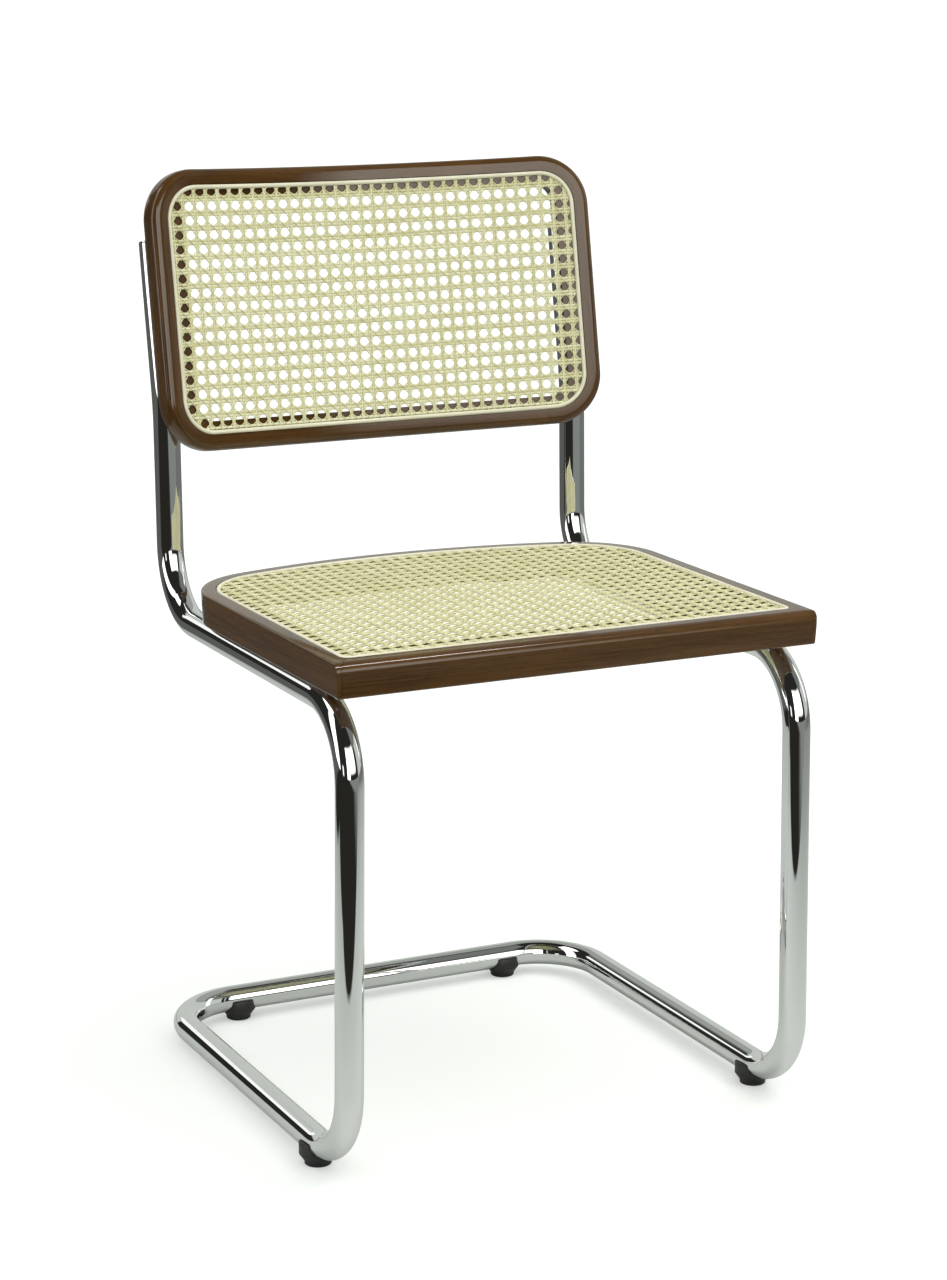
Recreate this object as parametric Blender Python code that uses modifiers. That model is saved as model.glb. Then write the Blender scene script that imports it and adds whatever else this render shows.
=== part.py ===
"""Cantilever visitor chair: one bent steel tube carries a bentwood seat and back with cane panels.

Metres, +Z up. The chair faces -Y and stands on z = 0. Left is -X, the left side seen from the front.
"""

import math

import bmesh
import bpy
from mathutils import Matrix, Vector

# Clearances. The gap is what touching pieces keep; the others let a cutter reach past what it cuts.
GAP = 0.0003
CUT_MARGIN = 0.0002
OVERRUN = 0.010

# Steel tube. The front legs' place puts the origin midway between the front tube and the back's rear.
TUBE_DIAMETER = 0.025
TUBE_WALL = 0.002
BEND_RADIUS = 0.066
FRONT_LEG_Y = -0.2335
CROSSBAR_BEHIND_SEAT = 0.0515
LEG_SPLAY = 0.0045
UPRIGHT_LEAN = math.radians(1.2)
RECLINE = math.radians(10.3)
KINK_RADIUS = 0.260

# Seat. Its overhangs are measured from the middle of the tube below it.
SEAT_HEIGHT = 0.4663
SEAT_WIDTH = 0.4625
SEAT_DEPTH = 0.3995
SEAT_THICKNESS = 0.0305
SEAT_FRONT_OVERHANG = 0.0085
SEAT_SIDE_OVERHANG_FRONT = 0.01475
SEAT_SIDE_OVERHANG_REAR = 0.01775
SEAT_TO_BEND = 0.0072
SEAT_REAR_RADIUS = 0.612
SEAT_CORNER_RADIUS = 0.088
SEAT_FRONT_CORNER_RADIUS = 0.0025
SEAT_SIDE_LAND = 0.0140
SEAT_FRONT_LAND = 0.0200
SEAT_SIDE_TAPER = 0.001
SEAT_FRONT_TAPER = 0.002
SEAT_FRONT_ROUNDOVER = 0.009
SEAT_TOP_EDGE = 0.0015
SEAT_BOTTOM_EDGE = 0.002
MITRE_START = 0.004

# Back. Its lift is from the seat's top; the kink's rise is along the recline from the lower edge.
BACK_HEIGHT = 0.2634
BACK_THICKNESS = 0.026
BACK_OVERHANG = 0.0233
BACK_CORNER_RADIUS = 0.050
BACK_CURVE_RADIUS = 0.800
BACK_LIFT = 0.1057
KINK_RISE = 0.0442
UPRIGHT_BELOW_TOP = 0.0652
BACK_LAND = 0.0162
BACK_FLAT_LAND = 0.0025
BACK_REAR_ROUNDING = 0.008
BACK_INNER_EDGE = 0.003

# Cane panels, their ledges and the splines that hold them
LEDGE_WIDTH = 0.010
CANE_THICKNESS = 0.0016
CANE_BELOW_LAND = 0.0004
CANE_GAP_PITCH = 0.034
CANE_STRAND = 0.015
CANE_MARGIN = 0.003
SPLINE_WIDTH = 0.0046
SPLINE_DEPTH = 0.0055
SPLINE_PROUD = 0.0007
SPLINE_TOP_ROUNDING = 0.0018
SPLINE_CORNER_RADIUS = 0.006

# Glides
GLIDE_DROP = 0.008
GLIDE_PAD_RADIUS = 0.0120
GLIDE_WAIST_HEIGHT = 0.0034
GLIDE_SADDLE_WALL = 0.0040
GLIDE_SADDLE_START = 0.0095
GLIDE_EAR_RISE = 0.0006
GLIDE_EDGE = 0.0012
GLIDE_PIN_RADIUS = 0.0024
GLIDE_PIN_RISE = 0.0045
GLIDE_BEHIND_FRONT_BEND = 0.002
GLIDE_INSIDE_REAR_BEND = 0.009

# Fasteners
SCREW_RADIUS = 0.00225
SCREW_HEAD_RADIUS = 0.0045
SCREW_HEAD_FLAT = 0.0027
SCREW_HEAD_EDGE = 0.0014
SCREW_HEAD_HEIGHT = 0.0028
SCREW_TIP = 0.005
SCREW_COVER = 0.012
SCREW_ACCESS_RADIUS = 0.0055
SEAT_SCREW_BEHIND_BEND = 0.012
SEAT_SCREW_SPACING = 0.220
BACK_SCREW_SPACING = 0.090
DOWEL_RADIUS = 0.004
DOWEL_LENGTH = 0.020
DOWEL_CHAMFER = 0.001
DOWEL_FROM_CORNER = 0.018
DOWEL_LAND = 0.005

# End caps
CAP_THICKNESS = 0.0015
CAP_EDGE = 0.0008
CAP_STEM_LENGTH = 0.012

# Facets
TUBE_SIDES = 16
BORE_SIDES = 8
BEND_STEPS = 6
KINK_STEPS = 3
CORNER_STEPS = 8
EDGE_STEPS = 3
TURN_STEPS = 20
SCREW_STEPS = 8
BACK_STATION = 0.030

# Levels and widths that follow from the sizes above
TUBE_RADIUS = TUBE_DIAMETER / 2
RUNNER_Z = GLIDE_DROP + TUBE_RADIUS
SEAT_UNDERSIDE = SEAT_HEIGHT - SEAT_THICKNESS
SEAT_RUN_Z = SEAT_UNDERSIDE - GAP - TUBE_RADIUS
SEAT_RUN_X_FRONT = SEAT_WIDTH / 2 - SEAT_SIDE_OVERHANG_FRONT
SEAT_RUN_X_REAR = SEAT_WIDTH / 2 - SEAT_SIDE_OVERHANG_REAR
RUNNER_X = SEAT_RUN_X_FRONT + LEG_SPLAY
SEAT_FRONT_Y = FRONT_LEG_Y - SEAT_FRONT_OVERHANG
SEAT_REAR_Y = SEAT_FRONT_Y + SEAT_DEPTH
CROSSBAR_Y = SEAT_REAR_Y + CROSSBAR_BEHIND_SEAT
SEAT_SIDE_RAIL = SEAT_SIDE_LAND + SPLINE_WIDTH + LEDGE_WIDTH
SEAT_FRONT_RAIL = SEAT_FRONT_LAND + SPLINE_WIDTH + LEDGE_WIDTH
LEDGE_DEPTH = CANE_BELOW_LAND + CANE_THICKNESS + GAP
GROOVE_DEPTH = SPLINE_DEPTH + GAP
SPLINE_HEIGHT = SPLINE_DEPTH + SPLINE_PROUD

# The seat's rear corner: an arc inside the shallow arc of the rear edge
SEAT_ARC_Y = SEAT_REAR_Y - SEAT_REAR_RADIUS
SEAT_CORNER_X = SEAT_WIDTH / 2 - SEAT_CORNER_RADIUS
SEAT_CORNER_Y = SEAT_ARC_Y + math.sqrt((SEAT_REAR_RADIUS - SEAT_CORNER_RADIUS) ** 2 - SEAT_CORNER_X**2)
SEAT_CORNER_END = math.atan2(SEAT_CORNER_Y - SEAT_ARC_Y, SEAT_CORNER_X)

# The uprights rise just behind the seat's corners
TUBE_INSIDE_X = SEAT_RUN_X_REAR - TUBE_RADIUS - SEAT_CORNER_X
SEAT_REACH_OVER_TUBE = SEAT_CORNER_Y + math.sqrt(SEAT_CORNER_RADIUS**2 - TUBE_INSIDE_X**2)
UPRIGHT_Y = SEAT_REACH_OVER_TUBE + SEAT_TO_BEND + BEND_RADIUS

# The back lies against the fronts of both uprights, above their kink
BACK_FACE = BACK_THICKNESS / 2
BACK_TO_TUBE = BACK_CURVE_RADIUS + BACK_FACE + GAP + TUBE_RADIUS
TUBE_ANGLE = math.asin(SEAT_RUN_X_REAR / BACK_TO_TUBE)
TUBE_DEPTH = BACK_TO_TUBE * math.cos(TUBE_ANGLE) - BACK_CURVE_RADIUS
BACK_WIDTH = 2 * (BACK_CURVE_RADIUS * TUBE_ANGLE + BACK_OVERHANG)
BACK_Z = SEAT_HEIGHT + BACK_LIFT + BACK_HEIGHT / 2 * math.cos(RECLINE)
KINK_FROM_MIDDLE = KINK_RISE - BACK_HEIGHT / 2
KINK_Z = BACK_Z + KINK_FROM_MIDDLE * math.cos(RECLINE) - TUBE_DEPTH * math.sin(RECLINE)
KINK_Y = UPRIGHT_Y + (KINK_Z - SEAT_RUN_Z) * math.tan(UPRIGHT_LEAN)
BACK_Y = KINK_Y - KINK_FROM_MIDDLE * math.sin(RECLINE) - TUBE_DEPTH * math.cos(RECLINE)
UPRIGHT_ABOVE_KINK = BACK_HEIGHT - UPRIGHT_BELOW_TOP - KINK_RISE

WOOD = "dark_stained_wood"
CHROME = "chromed_steel"
CANE = "natural_cane"
SPLINE = "cane_spline"
PLASTIC = "black_plastic"
SCREW_STEEL = "zinc_plated_steel"
BEECH = "raw_beech"

FINISHES = {
    WOOD: ((0.085, 0.036, 0.018, 1.0), 0.35, 0.0),
    CHROME: ((0.80, 0.81, 0.80, 1.0), 0.06, 1.0),
    CANE: ((0.76, 0.68, 0.42, 1.0), 0.55, 0.0),
    SPLINE: ((0.82, 0.77, 0.58, 1.0), 0.50, 0.0),
    PLASTIC: ((0.012, 0.013, 0.013, 1.0), 0.50, 0.0),
    SCREW_STEEL: ((0.55, 0.55, 0.56, 1.0), 0.30, 1.0),
    BEECH: ((0.62, 0.45, 0.28, 1.0), 0.60, 0.0),
}


def clear_scene():
    for old in list(bpy.data.objects):
        bpy.data.objects.remove(old, do_unlink=True)


def new_collection(name, parent):
    made = bpy.data.collections.new(name)
    parent.children.link(made)
    return made


def material(name):
    """The finish of that name, made once."""
    found = bpy.data.materials.get(name)
    if found:
        return found
    colour, roughness, metallic = FINISHES[name]
    made = bpy.data.materials.new(name)
    made.use_nodes = True
    shader = made.node_tree.nodes["Principled BSDF"]
    shader.inputs["Base Color"].default_value = colour
    shader.inputs["Roughness"].default_value = roughness
    shader.inputs["Metallic"].default_value = metallic
    return made


clear_scene()
CHAIR = new_collection("visitor_chair", bpy.context.scene.collection)
CUTTERS = new_collection("cutters", bpy.context.scene.collection)
TUBE_CUTTERS = new_collection("tube_cutters", CUTTERS)
BOW_CUTTERS = new_collection("bow_cutters", CUTTERS)
RAIL_CUTTERS = new_collection("rail_cutters", CUTTERS)
HOOP_CUTTERS = new_collection("hoop_cutters", CUTTERS)


def as_part(obj, finish, parent=None):
    """Keeps the object as a visible piece of the chair."""
    CHAIR.objects.link(obj)
    obj.data.materials.clear()
    obj.data.materials.append(material(finish))
    obj.parent = parent
    return obj


def as_cutter(obj, *collections):
    """Keeps the object as a hidden tool, in the collections of the pieces that it cuts."""
    for collection in collections:
        collection.objects.link(obj)
    obj.hide_render = True
    obj.display_type = "WIRE"
    return obj


def shade(obj, sharp_degrees=35):
    """Smooth round faces, with the real edges kept crisp."""
    obj.data.shade_smooth()
    obj.data.set_sharp_from_angle(angle=math.radians(sharp_degrees))
    return obj


def cut(obj, operation, target):
    """A Boolean of the piece with one cutter or with a collection of cutters."""
    modifier = obj.modifiers.new(operation.lower(), "BOOLEAN")
    modifier.operation = operation
    modifier.solver = "EXACT"
    if isinstance(target, bpy.types.Collection):
        modifier.operand_type = "COLLECTION"
        modifier.collection = target
    else:
        modifier.object = target
    return obj


def fillet(before, corner, after, radius, steps):
    """Points of the arc that rounds one corner of a path."""
    back = (before - corner).normalized()
    ahead = (after - corner).normalized()
    half = back.angle(ahead) / 2
    centre = corner + (back + ahead).normalized() * (radius / math.sin(half))
    first = corner + back * (radius / math.tan(half)) - centre
    last = corner + ahead * (radius / math.tan(half)) - centre
    sweep = first.angle(last)
    points = []
    for step in range(steps + 1):
        share = step / steps
        weight_first = math.sin((1 - share) * sweep) / math.sin(sweep)
        weight_last = math.sin(share * sweep) / math.sin(sweep)
        points.append(centre + first * weight_first + last * weight_last)
    return points


def rounded(corners, radii, steps, closed):
    """The path through the corners, each rounded by its own radius; a radius of 0 stays sharp."""
    count = len(corners)
    path = []
    for index, corner in enumerate(corners):
        at_end = index in (0, count - 1) and not closed
        if at_end or radii[index] == 0:
            path.append(corner)
            continue
        before = corners[index - 1]
        after = corners[(index + 1) % count]
        path.extend(fillet(before, corner, after, radii[index], steps[index]))
    return path


def poly_curve(name, points, cyclic, dimensions="3D"):
    """A curve object through the points, not yet in any collection."""
    data = bpy.data.curves.new(name, "CURVE")
    data.dimensions = dimensions
    data.twist_mode = "Z_UP"
    spline = data.splines.new("POLY")
    spline.points.add(len(points) - 1)
    for slot, point in zip(spline.points, points):
        slot.co = (*point, 1.0)
    spline.use_cyclic_u = cyclic
    return bpy.data.objects.new(name, data)


def to_mesh(curve, turn=None):
    """Replaces a curve object by a welded mesh object, turned on the way if asked."""
    scene = bpy.context.scene
    scene.collection.objects.link(curve)
    bpy.context.view_layer.update()
    graph = bpy.context.evaluated_depsgraph_get()
    mesh = bpy.data.meshes.new_from_object(curve.evaluated_get(graph))
    work = bmesh.new()
    work.from_mesh(mesh)
    bmesh.ops.remove_doubles(work, verts=work.verts, dist=1e-6)
    if turn:
        bmesh.ops.transform(work, matrix=turn, verts=work.verts)
    bmesh.ops.recalc_face_normals(work, faces=work.faces)
    work.to_mesh(mesh)
    work.free()
    name = curve.name
    made = bpy.data.objects.new(name + "_mesh", mesh)
    made.matrix_world = curve.matrix_world
    bpy.data.objects.remove(curve, do_unlink=True)
    made.name = name
    return made


def tube_along(name, points, radius, sides):
    """A round bar along the points, with closed flat ends."""
    curve = poly_curve(name, points, cyclic=False)
    curve.data.twist_mode = "MINIMUM"
    curve.data.bevel_depth = radius
    curve.data.bevel_resolution = sides // 2 - 2
    curve.data.use_fill_caps = True
    return to_mesh(curve)


def swept(name, path, section, cyclic, turn=None):
    """The section carried along a flat path. Its first value runs inward, its second one up."""
    profile = poly_curve(name + "_section", [(-u, v, 0.0) for u, v in section], True, "2D")
    bpy.context.scene.collection.objects.link(profile)
    curve = poly_curve(name, path, cyclic)
    curve.data.bevel_mode = "OBJECT"
    curve.data.bevel_object = profile
    curve.data.use_fill_caps = not cyclic
    made = to_mesh(curve, turn)
    bpy.data.objects.remove(profile, do_unlink=True)
    return made


def prism(name, outline, low, high, turn=None):
    """A flat outline with thickness, from the low level to the high one."""
    points = [(x, y, 0.0) for x, y, *_ in outline]
    curve = poly_curve(name, points, True, "2D")
    curve.data.fill_mode = "BOTH"
    curve.data.extrude = (high - low) / 2
    lift = Matrix.Translation((0.0, 0.0, (high + low) / 2))
    return to_mesh(curve, turn @ lift if turn else lift)


def turned(name, profile, steps):
    """A turned piece: the profile, top to bottom as (radius, height), spun about Z."""
    mesh = bpy.data.meshes.new(name)
    points = [(radius, 0.0, height) for radius, height in profile]
    mesh.from_pydata(points, [(i, i + 1) for i in range(len(points) - 1)], [])
    made = bpy.data.objects.new(name, mesh)
    spin = made.modifiers.new("spin", "SCREW")
    spin.steps = steps
    spin.render_steps = steps
    spin.use_merge_vertices = True
    spin.merge_threshold = 1e-6
    return made


def rod(name, radius, low, high, sides):
    """A plain round bar on the Z axis."""
    mesh = bpy.data.meshes.new(name)
    work = bmesh.new()
    lift = Matrix.Translation((0.0, 0.0, (low + high) / 2))
    bmesh.ops.create_cone(
        work,
        cap_ends=True,
        segments=sides,
        radius1=radius,
        radius2=radius,
        depth=high - low,
        matrix=lift,
    )
    work.to_mesh(mesh)
    work.free()
    return bpy.data.objects.new(name, mesh)


def section_outline(corners, radii):
    """A cross-section as (inward, up) pairs, with rounded corners."""
    points = [Vector((u, v, 0.0)) for u, v in corners]
    steps = [EDGE_STEPS] * len(points)
    return [(p.x, p.y) for p in rounded(points, radii, steps, closed=True)]


def arc(centre_x, centre_y, radius, start, end, steps):
    """Points of a flat arc, both ends included."""
    points = []
    for step in range(steps + 1):
        angle = start + (end - start) * step / steps
        x = centre_x + radius * math.cos(angle)
        y = centre_y + radius * math.sin(angle)
        points.append(Vector((x, y, 0.0)))
    return points


# The tube frame


def half_centreline(side):
    """Corners of one half of the tube: upright end, kink, seat bend, front bend, floor bend, rear bend."""
    rear_x = side * SEAT_RUN_X_REAR
    front_x = side * SEAT_RUN_X_FRONT
    floor_x = side * RUNNER_X
    end_y = KINK_Y + UPRIGHT_ABOVE_KINK * math.sin(RECLINE)
    end_z = KINK_Z + UPRIGHT_ABOVE_KINK * math.cos(RECLINE)
    return [
        Vector((rear_x, end_y, end_z)),
        Vector((rear_x, KINK_Y, KINK_Z)),
        Vector((rear_x, UPRIGHT_Y, SEAT_RUN_Z)),
        Vector((front_x, FRONT_LEG_Y, SEAT_RUN_Z)),
        Vector((floor_x, FRONT_LEG_Y, RUNNER_Z)),
        Vector((floor_x, CROSSBAR_Y, RUNNER_Z)),
    ]


def tube_centreline(beyond_ends=0.0):
    """The whole bent path, from one upright end to the other."""
    left = half_centreline(-1)
    right = half_centreline(1)[::-1]
    radii = [0, KINK_RADIUS] + [BEND_RADIUS] * 4
    steps = [0, KINK_STEPS] + [BEND_STEPS] * 4
    path = rounded(left + right, radii + radii[::-1], steps + steps[::-1], closed=False)
    path[0] = path[0] + (path[0] - path[1]).normalized() * beyond_ends
    path[-1] = path[-1] + (path[-1] - path[-2]).normalized() * beyond_ends
    return path


def build_tube():
    tube = tube_along("tube_frame", tube_centreline(), TUBE_RADIUS, TUBE_SIDES)
    bore_radius = TUBE_RADIUS - TUBE_WALL
    bore = tube_along("tube_bore", tube_centreline(OVERRUN), bore_radius, BORE_SIDES)
    as_cutter(bore, TUBE_CUTTERS)
    cut(tube, "DIFFERENCE", TUBE_CUTTERS)
    return shade(as_part(tube, CHROME))


# Glides under the runners and the crossbar


def glide_profile():
    """Half outline of a glide before its saddle is cut: ears, flared body, waist and pad."""
    top = RUNNER_Z + GLIDE_EAR_RISE
    saddle_radius = TUBE_RADIUS + GAP + GLIDE_SADDLE_WALL
    return [
        (0.0, top),
        (saddle_radius - GLIDE_EDGE, top),
        (saddle_radius, top - GLIDE_EDGE),
        (saddle_radius, GLIDE_SADDLE_START),
        (GLIDE_PAD_RADIUS, GLIDE_WAIST_HEIGHT),
        (GLIDE_PAD_RADIUS, GLIDE_EDGE),
        (GLIDE_PAD_RADIUS - GLIDE_EDGE, 0.0),
        (0.0, 0.0),
    ]


def build_glide(name, x, y, saddle):
    glide = turned(name, glide_profile(), TURN_STEPS)
    glide.location = (x, y, 0.0)
    cut(glide, "DIFFERENCE", saddle)
    pin_base = GLIDE_DROP / 2
    pin_top = GLIDE_DROP + TUBE_WALL + GLIDE_PIN_RISE
    pin = rod(name + "_pin", GLIDE_PIN_RADIUS, pin_base, pin_top, SCREW_STEPS)
    pin.location = glide.location
    cut(glide, "UNION", as_cutter(pin, CUTTERS))
    hole_radius = GLIDE_PIN_RADIUS + GAP
    hole = rod(name + "_hole", hole_radius, 0.0, RUNNER_Z, SCREW_STEPS)
    hole.location = glide.location
    as_cutter(hole, TUBE_CUTTERS)
    return shade(as_part(glide, PLASTIC))


def build_glides():
    saddle = tube_along("saddle_cutter", tube_centreline(), TUBE_RADIUS + GAP, TUBE_SIDES)
    as_cutter(saddle, CUTTERS)
    front_y = FRONT_LEG_Y + BEND_RADIUS + GLIDE_BEHIND_FRONT_BEND
    rear_x = RUNNER_X - BEND_RADIUS - GLIDE_INSIDE_REAR_BEND
    for side, word in ((-1, "left"), (1, "right")):
        build_glide("glide_front_" + word, side * RUNNER_X, front_y, saddle)
        build_glide("glide_rear_" + word, side * rear_x, CROSSBAR_Y, saddle)


# End caps in the open tops of the uprights


def build_end_cap(name, side):
    bore_radius = TUBE_RADIUS - TUBE_WALL
    stem_radius = bore_radius * math.cos(math.pi / BORE_SIDES) - GAP
    rim = TUBE_RADIUS * math.cos(math.pi / TUBE_SIDES)
    profile = [
        (0.0, GAP + CAP_THICKNESS),
        (rim - CAP_EDGE, GAP + CAP_THICKNESS),
        (rim, GAP + CAP_THICKNESS - CAP_EDGE),
        (rim, GAP),
        (stem_radius, GAP),
        (stem_radius, CAP_EDGE - CAP_STEM_LENGTH),
        (stem_radius - CAP_EDGE, -CAP_STEM_LENGTH),
        (0.0, -CAP_STEM_LENGTH),
    ]
    cap = turned(name, profile, TUBE_SIDES)
    cap.location = half_centreline(side)[0]
    cap.rotation_euler = (-RECLINE, 0.0, 0.0)
    return shade(as_part(cap, CHROME))


# Seat


def seat_plan(side_inset, front_inset, corner_radius):
    """Plan outline of the seat, moved inward from the sides and the rear, and from the front."""
    inner = SEAT_WIDTH / 2 - side_inset - corner_radius
    low = SEAT_FRONT_Y + front_inset + corner_radius
    rear = SEAT_REAR_RADIUS - side_inset
    corner = SEAT_CORNER_RADIUS - side_inset
    quarter = math.pi / 2
    meet = SEAT_CORNER_END
    points = arc(inner, low, corner_radius, -quarter, 0.0, EDGE_STEPS)
    points += arc(SEAT_CORNER_X, SEAT_CORNER_Y, corner, 0.0, meet, CORNER_STEPS)
    points += arc(0.0, SEAT_ARC_Y, rear, meet, math.pi - meet, CORNER_STEPS)[1:]
    points += arc(-SEAT_CORNER_X, SEAT_CORNER_Y, corner, math.pi - meet, math.pi, CORNER_STEPS)[1:]
    points += arc(-inner, low, corner_radius, math.pi, math.pi + quarter, EDGE_STEPS)
    return points


def bow_path():
    """Outer line of the bent side and rear rail, run on past the front, where the mitre trims it."""
    outline = seat_plan(0.0, 0.0, SEAT_FRONT_CORNER_RADIUS)
    bend = outline[EDGE_STEPS + 1 : -(EDGE_STEPS + 1)]
    front = SEAT_FRONT_Y - OVERRUN
    start = Vector((SEAT_WIDTH / 2, front, 0.0))
    end = Vector((-SEAT_WIDTH / 2, front, 0.0))
    return [start] + bend + [end]


def side_section():
    corners = [
        (0.0, SEAT_HEIGHT),
        (SEAT_SIDE_RAIL, SEAT_HEIGHT),
        (SEAT_SIDE_RAIL, SEAT_UNDERSIDE),
        (SEAT_SIDE_TAPER, SEAT_UNDERSIDE),
    ]
    return section_outline(corners, [SEAT_TOP_EDGE, 0, SEAT_BOTTOM_EDGE, SEAT_BOTTOM_EDGE])


def front_section(depth):
    """The front rail's section: a flat leaning face under a large rounded top edge."""
    corners = [
        (0.0, SEAT_HEIGHT),
        (depth, SEAT_HEIGHT),
        (depth, SEAT_UNDERSIDE),
        (SEAT_FRONT_TAPER, SEAT_UNDERSIDE),
    ]
    points = [Vector((u, v, 0.0)) for u, v in corners]
    radii = [SEAT_FRONT_ROUNDOVER, 0, SEAT_BOTTOM_EDGE, SEAT_BOTTOM_EDGE]
    steps = [CORNER_STEPS] + [EDGE_STEPS] * 3
    return rounded(points, radii, steps, closed=True)


def along_x(outline, name):
    """A bar with this (depth, height) section, lying across the chair behind the front line."""
    turn = Matrix.Translation((0.0, SEAT_FRONT_Y, 0.0)) @ Matrix(
        ((0, 0, 1, 0), (1, 0, 0, 0), (0, 1, 0, 0), (0, 0, 0, 1))
    )
    reach = SEAT_WIDTH / 2 + OVERRUN
    return prism(name, outline, -reach, reach, turn)


def mitre_line(side):
    """Outer and inner end of the joint between the front rail and the bow."""
    outer = Vector((side * (SEAT_WIDTH / 2 - MITRE_START), SEAT_FRONT_Y, 0.0))
    inner_x = side * (SEAT_WIDTH / 2 - SEAT_SIDE_RAIL)
    inner = Vector((inner_x, SEAT_FRONT_Y + SEAT_FRONT_RAIL, 0.0))
    return outer, inner


def mitre_wedge(name, shift):
    """The part of the plan that belongs to the front rail, grown or shrunk by the shift."""
    points = []
    for side in (-1, 1):
        outer, inner = mitre_line(side)
        along = (inner - outer).normalized()
        normal = Vector((side * abs(along.y), -abs(along.x), 0.0))
        ends = [outer - along * OVERRUN, inner + along * OVERRUN / 2]
        moved = [end + normal * shift for end in ends]
        points += moved if side == 1 else moved[::-1]
    low = SEAT_UNDERSIDE - OVERRUN
    return prism(name, points, low, SEAT_HEIGHT + OVERRUN)


def groove_section(half_width):
    low = SEAT_HEIGHT - GROOVE_DEPTH
    high = SEAT_HEIGHT + OVERRUN
    return [(-half_width, low), (-half_width, high), (half_width, high), (half_width, low)]


def spline_section(top):
    """A cane spline: a flat strip on edge with a rounded top, centred on its path."""
    half = SPLINE_WIDTH / 2
    high = top + SPLINE_PROUD
    low = high - SPLINE_HEIGHT
    corners = [(-half, high), (half, high), (half, low), (-half, low)]
    return section_outline(corners, [SPLINE_TOP_ROUNDING, SPLINE_TOP_ROUNDING, 0, 0])


def seat_spline_path():
    middle = SPLINE_WIDTH / 2
    return seat_plan(SEAT_SIDE_LAND + middle, SEAT_FRONT_LAND + middle, SPLINE_CORNER_RADIUS)


def build_dowels():
    """Two dowels across each front corner joint, and the holes for them in both rails."""
    for side, word in ((-1, "left"), (1, "right")):
        outer, inner = mitre_line(side)
        along = (inner - outer).normalized()
        turn = math.atan2(along.y, along.x)
        for order, step in (("outer", 0), ("inner", 1)):
            place = DOWEL_FROM_CORNER + step * (2 * DOWEL_RADIUS + DOWEL_LAND)
            centre = outer + along * place
            centre.z = SEAT_UNDERSIDE + (SEAT_THICKNESS - GROOVE_DEPTH) / 2
            half = DOWEL_LENGTH / 2
            profile = [
                (0.0, half),
                (DOWEL_RADIUS - DOWEL_CHAMFER, half),
                (DOWEL_RADIUS, half - DOWEL_CHAMFER),
                (DOWEL_RADIUS, DOWEL_CHAMFER - half),
                (DOWEL_RADIUS - DOWEL_CHAMFER, -half),
                (0.0, -half),
            ]
            dowel = turned(f"seat_dowel_{order}_{word}", profile, SCREW_STEPS)
            reach = half + GAP
            hole_radius = DOWEL_RADIUS + GAP
            hole = rod(dowel.name + "_hole", hole_radius, -reach, reach, SCREW_STEPS)
            for piece in (dowel, hole):
                piece.location = centre
                piece.rotation_euler = (math.pi / 2, 0.0, turn)
            as_cutter(hole, BOW_CUTTERS, RAIL_CUTTERS)
            shade(as_part(dowel, BEECH))


def build_seat_rails():
    """The bent side and rear rail and the straight front rail, joined by mitres."""
    bow = swept("seat_bow", bow_path(), side_section(), cyclic=False)
    rail = along_x(front_section(SEAT_FRONT_RAIL), "seat_front_rail")

    low = SEAT_UNDERSIDE - OVERRUN
    high = SEAT_HEIGHT + OVERRUN
    corners = seat_plan(-CUT_MARGIN, 0.0, SEAT_FRONT_CORNER_RADIUS)
    plan = as_cutter(prism("plan_envelope", corners, low, high), CUTTERS)
    front = along_x(front_section(SEAT_DEPTH + OVERRUN), "front_envelope")
    as_cutter(front, CUTTERS)

    wedge_rail = as_cutter(mitre_wedge("mitre_of_rail", -GAP / 2), CUTTERS)
    as_cutter(mitre_wedge("mitre_of_bow", GAP / 2), BOW_CUTTERS)
    groove_half = SPLINE_WIDTH / 2 + GAP
    groove = swept("seat_groove", seat_spline_path(), groove_section(groove_half), cyclic=True)
    as_cutter(groove, BOW_CUTTERS, RAIL_CUTTERS)
    ledge = prism("seat_ledge", seat_spline_path(), SEAT_HEIGHT - LEDGE_DEPTH, high)
    as_cutter(ledge, BOW_CUTTERS, RAIL_CUTTERS)

    cut(bow, "INTERSECT", front)
    cut(bow, "INTERSECT", plan)
    cut(bow, "DIFFERENCE", BOW_CUTTERS)
    cut(rail, "INTERSECT", wedge_rail)
    cut(rail, "INTERSECT", plan)
    cut(rail, "DIFFERENCE", RAIL_CUTTERS)
    for piece in (bow, rail):
        shade(as_part(piece, WOOD))


# Cane panels


def inside(point, outline):
    """Whether a point lies within a convex outline that runs counter-clockwise."""
    ends = outline[1:] + outline[:1]
    return all((end - start).cross(point - start).z > 0 for start, end in zip(outline, ends))


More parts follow.
